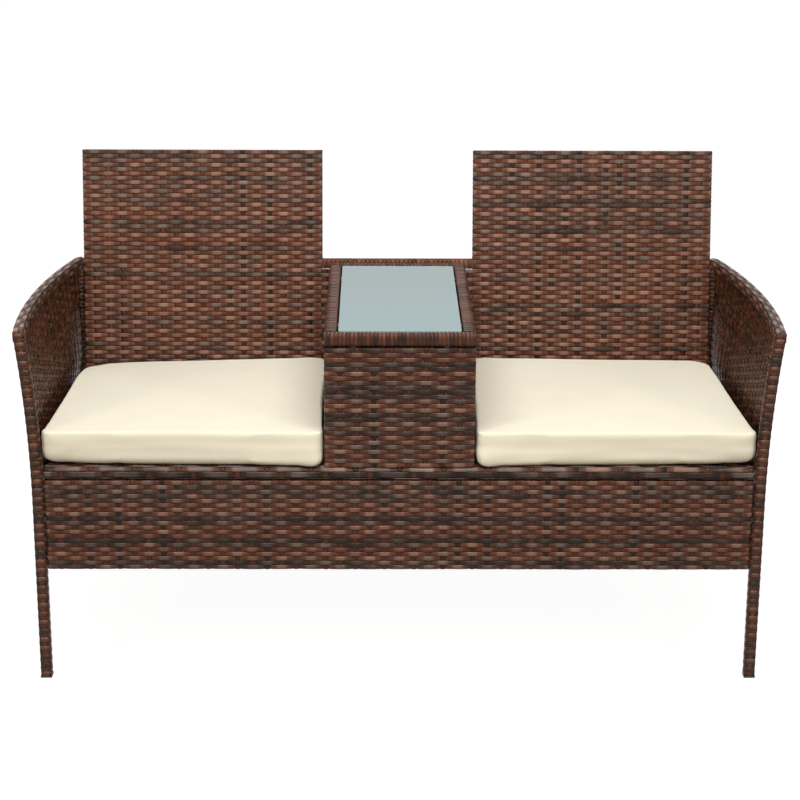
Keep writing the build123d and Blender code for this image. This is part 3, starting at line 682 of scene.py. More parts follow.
def bar_sleeve(low, high, along, inset, closed=True):
    """Guide points round a straight bar between two corners, with rounded-in ends where it is closed."""
    axis_a, axis_b, axis = bar_axes[along]
    middle = (low + high) / 2
    half = (high - low) / 2
    half_a = abs(half.dot(axis_a)) - inset
    half_b = abs(half.dot(axis_b)) - inset
    reach = abs(half.dot(axis)) - (inset if closed else 0)
    places = [(-reach, 1.0), (reach, 1.0)]
    if closed:
        rounding = ((0.0, 0.2), (0.0, 0.9), (edge_radius / 2, 1.0))
        places = [(-reach + back, share) for back, share in rounding]
        places += [(reach - back, share) for back, share in reversed(rounding)]
    return sleeve([(middle + axis * place, axis_a, axis_b, half_a * share, half_b * share)
                   for place, share in places])


# Share of the weave's wander that turns on a bar have
bar_wander = 0.5


def wrapped_bar(low, high, along, seed, pitch=None, closed=True, tones=bar_tones):
    """Strips wound round a straight bar."""
    weave = settings().weave
    grid = bar_sleeve(low, high, along, weave.thickness / 2, closed)
    pitch = pitch or weave.wrap_pitch
    return strip_mesh(grid, seed, pitch=pitch, wander=bar_wander, tones=tones, row_sides=6)


def rounded_path(corners):
    """Points of a plan path through corners, with each inner corner rounded."""
    points = [Vector(corners[0])]
    for before, corner, after in zip(corners, corners[1:], corners[2:]):
        corner = Vector(corner)
        into = (corner - Vector(before)).normalized()
        out = (Vector(after) - corner).normalized()
        start = corner - into * edge_radius
        stop = corner + out * edge_radius
        for step in range(corner_facets + 1):
            share = step / corner_facets
            points.append(start.lerp(corner, share).lerp(corner.lerp(stop, share), share))
    points.append(Vector(corners[-1]))
    return points


def panel_path(left, right, depth, post, inset):
    """Plan path of a panel's rows: round one post, across the front and round the other post."""
    inner = post - inset
    back = depth - inset
    turn = ((inner, depth / 4), (inner, back), (inset, back), (inset, inset))
    corners = [(left + x, y, 0) for x, y in turn] + [(right - x, y, 0) for x, y in reversed(turn)]
    return rounded_path(corners)


# Share of a post's width that is left free of stakes
stake_margin = 0.55


def panel_strips(left, right, bottom, top, depth, post, place, stake_pitch, seed, tones=field_tones):
    """Strips of a panel whose rows turn round the posts at both ends."""
    weave = settings().weave
    inset = weave.thickness / 2
    path = panel_path(left, right, depth, post, inset)
    grid = [[place @ (point + up_axis * z) for point in path] for z in (bottom, top)]
    turn = (lengths(path)[-1] - (right - left)) / 2
    stake_span = (turn + post * stake_margin, turn + (right - left) - post * stake_margin)
    return strip_mesh(grid, seed, stake_pitch, stake_span, tones=tones)


def flat_grid(corner, along, up):
    """Guide points of a flat field from one corner."""
    return [[corner, corner + along], [corner + up, corner + along + up]]


def lengthwise(grid):
    """Guide points of a sleeve, turned so that its rows run along the bar."""
    return [list(column) for column in zip(*grid)][::-1]


def facing(row, side):
    """Guide points of a row from front to rear, turned so that its face looks out on one side."""
    return row if side > 0 else row[::-1]


# Noise of the strips: its stretch along a strip, across it and from strip to strip
drift_stretch = (14.0, 0.0, 3.7)
streak_stretch = (16.0, 700.0, 5.3)
patch_stretch = (22.0, 30.0, 9.1)


def strip_material():
    """Satin plastic strip, streaked along its length, with a colour for each strip, painted highlight on its
    crowns and painted shade in its hollows.
    """
    found = bpy.data.materials.get("woven strip")
    if found:
        return found
    weave = settings().weave
    material, board, shader = new_material("woven strip")
    tone = board.node("ShaderNodeAttribute", output="Fac", attribute_name="tone")
    rise = board.node("ShaderNodeAttribute", output="Fac", attribute_name="rise")
    place = board.node("ShaderNodeAttribute", output="Vector", attribute_name="strip")
    drift = board.noise(place.vector("MULTIPLY", drift_stretch), detail=1.0)
    streak = board.noise(place.vector("MULTIPLY", streak_stretch), detail=3.0)
    patch = board.noise(place.vector("MULTIPLY", patch_stretch))
    drift_width = 0.9
    ramp = board.node("ShaderNodeValToRGB", {"Fac": tone + (drift - 0.5) * drift_width})
    stops = ramp.socket.node.color_ramp.elements
    colours = ((0.0, weave.dark_strip), (0.22, weave.red_strip), (0.4, weave.red_strip),
               (0.62, weave.warm_strip), (0.8, weave.grey_strip), (1.0, weave.dark_strip))
    while len(stops) < len(colours):
        stops.new(0.5)
    for stop, (position, colour) in zip(stops, colours):
        stop.position = position
        stop.color = (*colour, 1.0)
    # Painted highlight and shade: the crowns of the rows are painted lighter and less red where light catches
    # them, and the hollows and stakes are painted darker and redder where shade falls; the crowns are also
    # smoother than the hollows
    crown_limits = (0.55, 0.8)
    least_shade, streak_shade = (0.2, 0.6)
    hollow_painted_shade, crown_painted_highlight = (0.68, 0.7)
    green_in_painted_shade, green_in_painted_highlight = (0.78, 0.46)
    blue_in_painted_shade, blue_in_painted_highlight = (0.66, 0.8)
    hollow_roughness, streak_roughness, crown_gloss = (0.32, 0.2, 0.2)
    crown = board.smoothstep(rise, *crown_limits)
    shade = (least_shade + streak * streak_shade + patch) * (hollow_painted_shade + crown * crown_painted_highlight)
    green = shade * (green_in_painted_shade + crown * green_in_painted_highlight)
    blue = shade * (blue_in_painted_shade + crown * blue_in_painted_highlight)
    board.feed(shader.inputs["Base Color"], ramp.vector("MULTIPLY", board.vector(shade, green, blue)))
    board.feed(shader.inputs["Roughness"], hollow_roughness + streak * streak_roughness - crown * crown_gloss)
    board.feed(shader.inputs["Normal"], board.bump(streak, strength=0.25, distance=0.0004))
    shader.inputs["Specular IOR Level"].default_value = 0.2
    return material


def new_material(name):
    """New material with its board and its principled shader."""
    material = bpy.data.materials.new(name)
    material.use_nodes = True
    board = Board(material.node_tree)
    return material, board, material.node_tree.nodes["Principled BSDF"]


def speckled_material(name, colour, roughness, grain, metallic=0.0):
    """Plain finish with a fine uneven grain in its colour, roughness and surface."""
    material, board, shader = new_material(name)
    place = board.node("ShaderNodeTexCoord", output="Object")
    fine = board.noise(place, grain, detail=4.0)
    board.feed(shader.inputs["Base Color"], board.shaded(colour, board.spread(fine, 1.0, width=0.4)))
    board.feed(shader.inputs["Roughness"], board.spread(fine, roughness, width=0.2))
    board.feed(shader.inputs["Normal"], board.bump(fine, strength=0.15, distance=0.0003))
    shader.inputs["Metallic"].default_value = metallic
    return material


def fabric_material():
    """Cream cloth with a fine plain weave."""
    material, board, shader = new_material("cream cloth")
    place = board.node("ShaderNodeTexCoord", output="Object")
    threads = 5200.0
    slant_x = 0.37
    slant_y = 0.63
    x, y, z = board.parts(place.scaled(threads))
    weave = (x + z * slant_x).maths("SINE") * (y + z * slant_y).maths("SINE")
    soft = board.noise(place, scale=14.0, detail=3.0)
    least_shade, thread_shade, soft_shade = (0.95, 0.01, 0.08)
    shade = least_shade + weave * thread_shade + soft * soft_shade
    board.feed(shader.inputs["Base Color"], board.shaded(settings().cushion.fabric, shade))
    board.feed(shader.inputs["Normal"], board.bump(weave, strength=0.1, distance=0.0003))
    shader.inputs["Roughness"].default_value = 0.85
    shader.inputs["Sheen Weight"].default_value = 0.15
    return material


def glass_material():
    """Faintly tinted pane, with a soft sky-like sheen painted into its colour."""
    material, board, shader = new_material("table glass")
    place = board.node("ShaderNodeTexCoord", output="Object")
    soft = board.noise(place, scale=3.0)
    tint = settings().finish.glass
    board.feed(shader.inputs["Base Color"], board.shaded(tint, board.spread(soft, 1.0, width=0.12)))
    shader.inputs["Roughness"].default_value = 0.04
    shader.inputs["IOR"].default_value = 1.52
    shader.inputs["Transmission Weight"].default_value = 0.3
    return material


def paint(material, *nodes):
    """Give CAD nodes a material on their object slots."""
    for node in nodes:
        for slot in frame["nodes"][node].material_slots:
            slot.link = "OBJECT"
            slot.material = material


# First seed of each group of strips
seeds = {
    "back": 0, "back frame": 10, "apron": 20, "seat": 30, "right arm": 40, "left arm": 60, "table top": 80,
    "table box": 90,
}

# How far a bar lies behind the field in front of it, as a share of the strip's thickness
tuck_share = 1.5

# How far a field laps over a rail, as a share of the rail's size
lap_share = 0.3


def weave_back():
    """Strips of the notched back."""
    weave = settings().weave
    reach = weave.thickness
    sides = {"left": (-back_half - reach, -notch_half), "right": (notch_half, back_half + reach)}
    for number, (name, (left, right)) in enumerate(sides.items()):
        strips = panel_strips(left, right, 0, back_length, leg_size, leg_size, back_place, weave.stake_pitch,
                              seeds["back"] + number, tones=back_painted_light_tones)
        joined_piece(f"back_{name}_strips", [strips], "bench", f"back_{name}_weave")
    lap = leg_size * lap_share
    corner = back_place @ Vector((-notch_half - lap, weave.thickness, leg_size))
    across = side_axis * (notch_half + lap) * 2
    upward = back_place.to_3x3() @ up_axis * (notch_top - leg_size * 2)
    field = strip_mesh(flat_grid(corner, across, upward), seeds["back"] + 2, weave.stake_pitch)
    joined_piece("back_centre_strips", [field], "bench", "back_centre_weave")

    tuck = weave.thickness * tuck_share
    top_low = back_length - leg_size
    bars = (
        ((-back_half + tuck, tuck, top_low), (-notch_half - tuck, leg_size, back_length), False),
        ((notch_half + tuck, tuck, top_low), (back_half - tuck, leg_size, back_length), False),
        ((-notch_half, 0, notch_top - leg_size), (notch_half, leg_size, notch_top), False),
        ((-back_half + leg_size, tuck, 0), (back_half - leg_size, leg_size, leg_size), True),
    )
    pieces = []
    for number, (low, high, closed) in enumerate(bars):
        strips = wrapped_bar(Vector(low), Vector(high), "X", seeds["back frame"] + number, closed=closed)
        strips.data.transform(back_place)
        pieces.append(strips)
    joined_piece("back_frame_strips", pieces, "bench", "back_wrap")


def weave_apron():
    """Strips of the apron between the front legs."""
    weave = settings().weave
    seed = seeds["apron"]
    low, high = span("apron_top_rail")
    bottom = span("apron_bottom_rail")[0].z
    place = Matrix.Translation((0, low.y, 0))
    reach = weave.thickness
    field = panel_strips(low.x - reach, high.x + reach, bottom, high.z, rail_size, rail_size, place,
                         weave.stake_pitch, seed)
    joined_piece("apron_strips", [field], "bench", "apron_weave")
    tuck = Vector((1, 1, 0)) * weave.thickness * tuck_share
    pieces = []
    for number, node in enumerate(("apron_top_rail", "apron_bottom_rail")):
        low, high = span(node)
        pieces.append(wrapped_bar(low + tuck, high - tuck, "X", seed + 1 + number))
    joined_piece("apron_frame_strips", pieces, "bench", "apron_wrap")


def weave_seat():
    """Strips of the seat and its two long rails."""
    weave = settings().weave
    seed = seeds["seat"]
    row_share = 0.44
    low_lift = 0.6
    inset = weave.thickness
    low, high = span("seat_front_rail")
    front_rail = strip_mesh(lengthwise(bar_sleeve(low, high, "X", inset)), seed, weave.stake_pitch,
                            pitch=rail_size * row_share, repeat=3, tones=seat_rail_tones)
    rear_low, rear_high = span("seat_rear_rail")
    rear_rail = wrapped_bar(rear_low, rear_high, "X", seed + 1)
    joined_piece("seat_frame_strips", [front_rail, rear_rail], "bench", "seat_wrap")
    lap = rail_size * lap_share
    corner = Vector((low.x, high.y - lap, seat_height - inset))
    field = flat_grid(corner, side_axis * (high.x - low.x), depth_axis * (rear_low.y - high.y + lap * 2))
    seat = strip_mesh(field, seed + 2, weave.stake_pitch, lift=weave.row_lift * low_lift,
                      filler=closed_filler, row_sides=4, per_stake=3)
    joined_piece("seat_strips", [seat], "bench", "seat_weave")


def steps(first, last, count):
    """Evenly spaced values from first to last."""
    return [first + (last - first) * number / (count - 1) for number in range(count)]


def leg_axes(side):
    """Axes of an upright sleeve whose seam is at the outer rear corner of one side."""
    return (depth_axis, -side_axis) if side > 0 else (-side_axis, -depth_axis)


def front_leg_sleeve(side, inset):
    """Guide points round a front leg, from its cap up to the arm."""
    axis_a, axis_b = leg_axes(side)
    half = leg_size / 2 - inset
    stations = []
    for z in steps(foot_cap_height, arm_height - edge_radius, count=40):
        middle = (leg_x(z, 0) + leg_x(z, leg_size)) / 2
        stations.append((Vector((side * middle, front + leg_size / 2, z)), axis_a, axis_b, half, half))
    return sleeve(stations)


def rear_leg_sleeve(side, inset):
    """Guide points round a rear leg."""
    axis_a, axis_b = leg_axes(side)
    half = leg_size / 2 - inset
    return sleeve([(Vector((side * rear_leg_x(z), rear_leg_y(z), z)), axis_a, axis_b, half, half)
                   for z in (foot_cap_height, rear_bend_low, rear_bend_high, arm_underside)])


# Rounding of an arm rail's ends, as shares of full height in front and of the end radius behind
arm_front_profile = (0.35, 0.7, 0.92, 1.0)
arm_rear_profile = (0.5, 0.8, 0.95, 0.999)
arm_end_share = 0.1


def arm_rail_sleeve(side, inset):
    """Guide points round an arm rail, over the front leg's top, with rounded-in ends."""
    half = leg_size / 2 - inset
    rounding = leg_size / 4
    front_end = front + inset

    def station(y, drop=0.0, narrow=0.0):
        centre = Vector((side * arm_x(y, leg_size / 2), y, arm_height - leg_size / 2 - drop / 2))
        return centre, -up_axis, -side_axis, half - drop / 2, half - narrow

    stations = []
    for rise in arm_front_profile:
        y = front_end + rounding * (1 - math.sqrt(1 - rise * rise))
        stations.append(station(y, drop=rounding * (1 - rise)))
    for y in steps(front_end + rounding * 2, arm_rail_end - arm_end_radius, count=30):
        stations.append(station(y))
    for share in arm_rear_profile:
        y = arm_rail_end - inset - arm_end_radius * (1 - share)
        stations.append(station(y, narrow=arm_end_radius * (1 - math.sqrt(1 - share * share))))
    stations.append((*stations[-1][:4], half * arm_end_share))
    return sleeve(stations)


def arm_field(side):
    """Guide points of the woven arm between its legs, flared and bowed as the arm is."""
    lean_full = leg_x(arm_underside, leg_size / 2) - leg_middle
    full_chord = (leg_middle + lean_full + rear_leg_x(arm_underside)) / 2
    grid = []
    for z in steps(seat_height, arm_underside, count=9):
        stop = rear_leg_y(z) - leg_size / 2
        front_x = leg_x(z, leg_size / 2)
        rear_x = rear_leg_x(z)
        middle_y = (front_leg_rear + stop) / 2
        bow = (arm_x(middle_y, leg_size / 2) - full_chord) * (front_x - leg_middle) / lean_full
        row = []
        for share in steps(0.0, 1.0, count=17):
            y = front_leg_rear + (stop - front_leg_rear) * share
            x = front_x + (rear_x - front_x) * share + bow * 4 * share * (1 - share)
            row.append(Vector((side * x, y, z)))
        grid.append(facing(row, side))
    return grid


def skirt_field(side):
    """Guide points of the woven skirt between the lower rail and the seat-level rail."""
    grid = []
    for z in (lower_rail_base + leg_size, seat_height - leg_size):
        ends = (front_leg_rear, rear_leg_y(z) - leg_size / 2)
        grid.append(facing([Vector((side * leg_middle, y, z)) for y in ends], side))
    return grid


def weave_arm(name, side):
    """Strips of one arm: its woven fields, legs and rails."""
    weave = settings().weave
    seed = seeds[f"{name} arm"]
    field = strip_mesh(arm_field(side), seed, weave.stake_pitch, filler=closed_filler)
    joined_piece(f"{name}_arm_strips", [field], "bench", f"{name}_arm_weave")
    skirt = strip_mesh(skirt_field(side), seed + 1, weave.stake_pitch, row_sides=6, per_stake=4)
    joined_piece(f"{name}_skirt_strips", [skirt], "bench", f"{name}_skirt_weave")
    inset_share = 0.4
    low_lift = 0.35
    row_share = 0.42
    inset = weave.thickness * inset_share
    small_lift = weave.row_lift * low_lift
    legs = ((front_leg_sleeve(side, inset), front_leg_tones, small_lift),
            (rear_leg_sleeve(side, inset), rear_legs_painted_shade_tones, 0.0))
    pieces = []
    for number, (grid, tones, lift) in enumerate(legs):
        pieces.append(strip_mesh(grid, seed + 2 + number, stakes=4, pitch=weave.wrap_pitch, lift=lift,
                                 tones=tones, stake_tones=leg_stake_tones, stake_share=0.9, row_sides=6,
                                 per_stake=4, row_share=1.2))
    pieces.append(strip_mesh(lengthwise(arm_rail_sleeve(side, inset)), seed + 4, weave.stake_pitch,
                             pitch=leg_size * row_share, lift=small_lift, tones=arm_rail_tones,
                             stake_tones=slot_shade_stake_tones, stake_share=0.7, filler=closed_filler,
                             row_share=0.9))
    near, far = sorted((side * leg_inner, side * leg_outer))
    for number, base in enumerate((lower_rail_base, seat_height - leg_size)):
        low = Vector((near, front_leg_rear, base))
        high = Vector((far, rear_leg_y(base + leg_size / 2) - leg_size / 2, base + leg_size))
        pieces.append(wrapped_bar(low, high, "Y", seed + 5 + number, closed=False))
    joined_piece(f"{name}_arm_frame_strips", pieces, "bench", f"{name}_arm_wrap")


def weave_table_top():
    """Strips wound on the table's top frame."""
    pitch = settings().weave.table_wrap_pitch
    side_pitch = pitch * 1.6
    seed = seeds["table top"]
    front_low, front_high = span("table_front_rail")
    rear_low, rear_high = span("table_rear_rail")
    pieces = [wrapped_bar(front_low, front_high, "X", seed, pitch, tones=table_tones),
              wrapped_bar(rear_low, rear_high, "X", seed + 1, pitch, tones=table_tones)]
    for number, (left, right) in enumerate(((-table_half, -table_inner), (table_inner, table_half))):
        low = Vector((left, front_high.y, front_low.z))
        high = Vector((right, rear_low.y, front_high.z))
        pieces.append(wrapped_bar(low, high, "Y", seed + 2 + number, side_pitch, closed=False,
                                  tones=table_tones))
    joined_piece("table_top_strips", pieces, "bench", "table_top_wrap")


def weave_table_box():
    """Strips of the table's woven front and sides."""
    weave = settings().weave
    seed = seeds["table box"]
    low, high = span("table_box_bars")
    bases = (low.z, high.z - rail_size)
    post_front = span("table_posts")[0].y
    place = Matrix.Translation((0, post_front, 0))
    field = panel_strips(-table_half, table_half, low.z, high.z, rail_size, rail_size, place,
                         weave.table_stake_pitch, seed)
    joined_piece("table_front_strips", [field], "bench", "table_front_weave")
    start = post_front + rail_size
    tuck = weave.thickness * tuck_share

    def rear_end(z):
        return back_y(z) - cover / 2

    frames = []
    for number, base in enumerate(bases):
        near_corner = Vector((-table_inner, post_front + tuck, base))
        far_corner = Vector((table_inner, start, base + rail_size))
        frames.append(wrapped_bar(near_corner, far_corner, "X", seed + 1 + number, closed=False))
    for side, name in ((-1, "left"), (1, "right")):
        near, far = sorted((side * table_inner, side * table_half))
        face = side * (table_half - weave.thickness)
        grid = []
        for z in (low.z + rail_size, high.z - rail_size):
            ends = (start - rail_size / 2, rear_end(z) - rail_size / 2)
            grid.append(facing([Vector((face, y, z)) for y in ends], side))
        panel = strip_mesh(grid, seed + 3 + side, weave.stake_pitch, row_sides=6, per_stake=4)
        joined_piece(f"table_{name}_strips", [panel], "bench", f"table_{name}_weave")
        for number, base in enumerate(bases):
            near_corner = Vector((near, start, base))
            far_corner = Vector((far, rear_end(base + rail_size / 2) - rail_size, base + rail_size))
            bar_seed = seed + 5 + side * 2 + number
            frames.append(wrapped_bar(near_corner, far_corner, "Y", bar_seed, closed=False))
        half = rail_size / 2 - weave.thickness / 2
        stations = [(Vector(((near + far) / 2, rear_end(z) - rail_size / 2, z)), *leg_axes(side), half, half)
                    for z in (low.z, high.z)]
        frames.append(strip_mesh(sleeve(stations), seed + 9 + side, pitch=weave.wrap_pitch, wander=bar_wander,
                                 row_sides=6))
    joined_piece("table_box_frame_strips", frames, "bench", "table_box_wrap")


def copied_cushion(node, inset):
    """Voxel copy of a CAD cushion, drawn in by inset."""
    source = frame["nodes"][node].data.copy()
    low, high = (Vector(corner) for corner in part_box(node))
    middle = (low + high) / 2
    size = high - low
    shrink = Vector((1 - 2 * inset / size.x, 1 - 2 * inset / size.y, 1 - inset / size.z))
    for vertex in source.vertices:
        vertex.co = middle + (vertex.co - middle) * shrink
    piece = link_object(node + "_cover", source)
    remesh = piece.modifiers.new("remesh", "REMESH")
    remesh.mode = "VOXEL"
    remesh.voxel_size = settings().cushion.voxel
    return applied(piece)


def applied(piece):
    """Replace an object's mesh by its evaluated one and drop its modifiers."""
    depsgraph = bpy.context.evaluated_depsgraph_get()
    result = bpy.data.meshes.new_from_object(piece.evaluated_get(depsgraph), depsgraph=depsgraph)
    old = piece.data
    piece.modifiers.clear()
    piece.data = result
    bpy.data.meshes.remove(old)
    return piece


def inflate(piece):
    """Swell a cover with cloth under pressure, holding each point within the swell limit."""
    cushion = settings().cushion
    scene = bpy.context.scene
    rest = [vertex.co.copy() for vertex in piece.data.vertices]
    cloth = piece.modifiers.new("cloth", "CLOTH")
    cloth.settings.use_pressure = True
    cloth.settings.uniform_pressure_force = cushion.pressure
    cloth.settings.effector_weights.gravity = 0
    cloth.settings.quality = 4
    cloth.point_cache.frame_end = cushion.frames
    for number in range(1, cushion.frames + 1):
        scene.frame_set(number)
    applied(piece)
    scene.frame_set(1)
    for vertex, start in zip(piece.data.vertices, rest):
        move = vertex.co - start
        if move.length > cushion.swell:
            vertex.co = start + move.normalized() * cushion.swell


# Rise of a cover's face, from a side's to the top's
side_rise = 0.3
rise_range = 0.5

# Noise of the covers: how fine it is along X, Y and Z, and where each cushion's starts
crease_grain = (9, 9, 110)
swell_grain = (5, 5, 5)
pucker_grain = (40, 40, 240)
noise_start = {"left_cushion": 3.0, "right_cushion": 7.0}

# How much each cushion slumps at its outer rear corner
slumps = {"left_cushion": 1.0, "right_cushion": 0.4}

# How closely each effect keeps to an edge or corner: the power of a point's distance from the middle
corner_power = 4
pull_power = 5
overhang_power = 20
edge_power = 12
sag_power = 3
pucker_inner_power = 30
pucker_front_power = 16

# How far points drop or move forward as the cover hangs over or is drawn in
overhang_drop = 0.5
pull_drop = 0.3
pull_forward = 0.8
swell_share = 0.5


def boxed(point, upward, low, high, cushion):
    """Height of a cover's point: the top levelled to a slight crown, the sides drawn up to its edge."""
    across, deep = (2 * (point[axis] - low[axis]) / (high[axis] - low[axis]) - 1 for axis in range(2))
    crown = max(0.0, 1 - across * across) * max(0.0, 1 - deep * deep) * cushion.crown
    top = low.z + cushion.edge_height + crown
    side = min(low.z + (point.z - low.z) * cushion.edge_draw, top)
    share = min(max((upward - side_rise) / rise_range, 0.0), 1.0)
    return side + (top - side) * share * share * (3 - 2 * share)


def rough(place, grain, shift):
    """Smooth noise at a place, as fine along each axis as the grain says."""
    return noise.noise(Vector([value * fine for value, fine in zip(place, grain)]) + shift)


def settle(piece, node):
    """Fit a cover to its place, hang its front edge over, lift its bottom corners and crease its sides."""
    cushion = settings().cushion
    low, high = (Vector(corner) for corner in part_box(node))
    middle = (low + high) / 2
    half = (high - low) / 2
    points = [vertex.co for vertex in piece.data.vertices]
    first, last = (Vector([pick(point[axis] for point in points) for axis in range(3)])
                   for pick in (min, max))
    stretch = Vector([(high[axis] - low[axis]) / (last[axis] - first[axis]) for axis in range(2)] + [1.0])
    inward = -1 if middle.x > 0 else 1
    shift = Vector((noise_start[node], 0, 0))
    slump = slumps[node]
    rises = [vertex.normal.z for vertex in piece.data.vertices]
    for vertex, upward in zip(piece.data.vertices, rises):
        x, y, _ = low + (vertex.co - first) * stretch
        z = max(low.z, boxed(Vector((x, y, vertex.co.z)), upward, low, high, cushion))
        place = (x, y, z)
        level = (z - low.z) / (high.z - low.z)
        across = (x - middle.x) / half.x
        deep = (y - middle.y) / half.y
        behind = max(0.0, deep)
        ahead = max(0.0, -deep)
        corner = min(1.0, abs(across)) ** corner_power * min(1.0, abs(deep)) ** corner_power
        inner = (1 + across * inward) / 2
        outer = max(0.0, -across * inward)
        pull = slump * cushion.rear_pull * outer**pull_power * behind**pull_power
        overhang = cushion.overhang * inner * ahead**overhang_power * (1 - level) ** 2
        ridge = max(0.0, 1 - abs(level - 0.5) * 2)
        edge = max(abs(across), abs(deep)) ** edge_power
        crease = rough(place, crease_grain, shift) * ridge * edge
        swell = rough(place, swell_grain, shift)
        pucker = rough(place, pucker_grain, shift) * inner**pucker_inner_power * ahead**pucker_front_power
        outward = Vector((x - middle.x, y - middle.y, 0)).normalized() * (crease + pucker) * cushion.wrinkle
        lift = cushion.corner_rise * corner * (1 - inner) * (1 - level)
        rise = lift + swell * cushion.wrinkle * level * swell_share
        sag = slump * cushion.rear_sag * (1 - inner) * behind**sag_power * level
        drop = overhang * overhang_drop + pull * level * pull_drop + sag
        sideways = inward * (pull + cushion.taper * outer * (1 + deep) / 2 - cushion.spread * outer * outer)
        vertex.co = Vector((x + sideways, y - overhang - pull * pull_forward, z + rise - drop)) + outward


def sew_cushion(node, material):
    """One loose seat cushion."""
    piece = copied_cushion(node, settings().cushion.inset)
    inflate(piece)
    settle(piece, node)
    ease = piece.modifiers.new("ease", "SMOOTH")
    ease.iterations = 2
    finer = piece.modifiers.new("subdivide", "SUBSURF")
    finer.levels = 1
    finer.render_levels = 1
    applied(piece)
    piece.data.polygons.foreach_set("use_smooth", [True] * len(piece.data.polygons))
    piece.data.materials.clear()
    piece.data.materials.append(material)
    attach(piece, node)
    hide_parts(node)


def build_camera(stage):
    """Camera at the photographed angle."""
    data = bpy.data.cameras.new("camera")
    data.lens = stage.camera_lens
    data.sensor_width = 36.0
    camera = link_object("camera", data)
    yaw, pitch, roll = stage.camera_yaw, stage.camera_pitch, stage.camera_roll
    forward = Vector((math.sin(yaw) * math.cos(pitch), math.cos(yaw) * math.cos(pitch), -math.sin(pitch)))
    right = Vector((math.cos(yaw), -math.sin(yaw), 0))
    up = right.cross(forward)
    rolled_right = right * math.cos(roll) + up * math.sin(roll)
    rolled_up = up * math.cos(roll) - right * math.sin(roll)
    turn = Matrix((rolled_right, rolled_up, -forward)).transposed().to_4x4()
    camera.matrix_world = Matrix.Translation(stage.camera_place) @ turn
    bpy.context.scene.camera = camera


# Lights: where each area light stands, the point it is aimed at and its size, and the sun's aim and spread
overhead_light = ((0.0, -0.95, 2.5), (0, 0.1, 0.5), (2.0, 1.0))
front_light = ((0.1, -3.9, 1.6), (0, 0, 0.5), (0.6, 0.4))
side_light = ((2.1, -2.2, 1.7), (0, 0, 0.5), (0.4, 0.6))
sun_aim = (0.05, 0.6, -0.8)
sun_spread = math.radians(50)


def add_light(name, place, target, size, power, tint=(1, 1, 1)):
    """Soft area light aimed at a point."""
    data = bpy.data.lights.new(name, "AREA")
    data.shape = "RECTANGLE"
    data.size, data.size_y = size
    data.energy = power
    data.color = tint
    light = link_object(name, data)
    light.location = place
    light.rotation_euler = (Vector(target) - Vector(place)).to_track_quat("-Z", "Y").to_euler()


def add_sun(strength):
    """Even light from above and a little in front, soft as a wide lit ceiling is."""
    data = bpy.data.lights.new("even", "SUN")
    data.energy = strength
    data.angle = sun_spread
    link_object("even", data).rotation_euler = Vector(sun_aim).to_track_quat("-Z", "Y").to_euler()


def seen_directly(board):
    """1 for what the camera sees, also in gloss and through glass, and 0 for what only lights the bench."""
    rays = ("Is Camera Ray", "Is Glossy Ray", "Is Transmission Ray")
    camera, gloss, through = (board.node("ShaderNodeLightPath", output=ray) for ray in rays)
    return camera.maths("MAXIMUM", gloss).maths("MAXIMUM", through)


def build_world(strength, backdrop):
    """White surroundings, brighter behind the bench, as a lit backdrop is."""
    world = bpy.data.worlds.new("surroundings")
    world.use_nodes = True
    board = Board(world.node_tree)
    background = world.node_tree.nodes["Background"]
    seen = seen_directly(board)
    background.inputs["Color"].default_value = (1, 1, 1, 1)
    _, toward_back, _ = board.parts(board.node("ShaderNodeTexCoord", output="Generated"))
    backdrop_limits = (0.3, 0.9)
    lit = strength + board.smoothstep(toward_back, *backdrop_limits) * backdrop
    board.feed(background.inputs["Strength"], lit + seen * (1.0 - lit))
    bpy.context.scene.world = world


def build_floor(colour, glow):
    """Wide pale floor that the camera sees as white where no shadow falls."""
    half = 30.0
    mesh = bpy.data.meshes.new("floor")
    corners = [Vector((x, y, 0)) for x, y in ((-half, -half), (half, -half), (half, half), (-half, half))]
    mesh.from_pydata(corners, [], [(0, 1, 2, 3)])
    material, board, shader = new_material("pale floor")
    place = board.node("ShaderNodeTexCoord", output="Object")
    fine = board.noise(place, scale=2.0)
    board.feed(shader.inputs["Base Color"], board.shaded(colour, board.spread(fine, 1.0, width=0.02)))
    seen = seen_directly(board) * glow
    board.feed(shader.inputs["Emission Color"], board.vector(seen, seen, seen))
    shader.inputs["Emission Strength"].default_value = 1.0
    shader.inputs["Roughness"].default_value = 0.9
    shader.inputs["Specular IOR Level"].default_value = 0.0
    mesh.materials.append(material)
    link_object("floor", mesh)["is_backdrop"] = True


class WOVEN_BENCH_OT_back(bpy.types.Operator):
    """Weave the back"""
    bl_idname = "woven_bench.back"
    bl_label = "Weave Back"

    def execute(self, context):
        weave_back()
        return {"FINISHED"}


class WOVEN_BENCH_OT_apron(bpy.types.Operator):
    """Weave the apron"""
    bl_idname = "woven_bench.apron"
    bl_label = "Weave Apron"

    def execute(self, context):
        weave_apron()
        return {"FINISHED"}


class WOVEN_BENCH_OT_seat(bpy.types.Operator):
    """Weave the seat and its rails"""
    bl_idname = "woven_bench.seat"
    bl_label = "Weave Seat"

    def execute(self, context):
        weave_seat()
        return {"FINISHED"}


class WOVEN_BENCH_OT_arms(bpy.types.Operator):
    """Weave both arms and wrap their legs"""
    bl_idname = "woven_bench.arms"
    bl_label = "Weave Arms"

    def execute(self, context):
        for name, side in (("left", -1), ("right", 1)):
            weave_arm(name, side)
        return {"FINISHED"}


class WOVEN_BENCH_OT_table_top(bpy.types.Operator):
    """Wrap the frame of the table top"""
    bl_idname = "woven_bench.table_top"
    bl_label = "Wrap Table Top"

    def execute(self, context):
        weave_table_top()
        return {"FINISHED"}


class WOVEN_BENCH_OT_table_box(bpy.types.Operator):
    """Weave the front and sides of the table"""
    bl_idname = "woven_bench.table_box"
    bl_label = "Weave Table Box"

    def execute(self, context):
        weave_table_box()
        return {"FINISHED"}


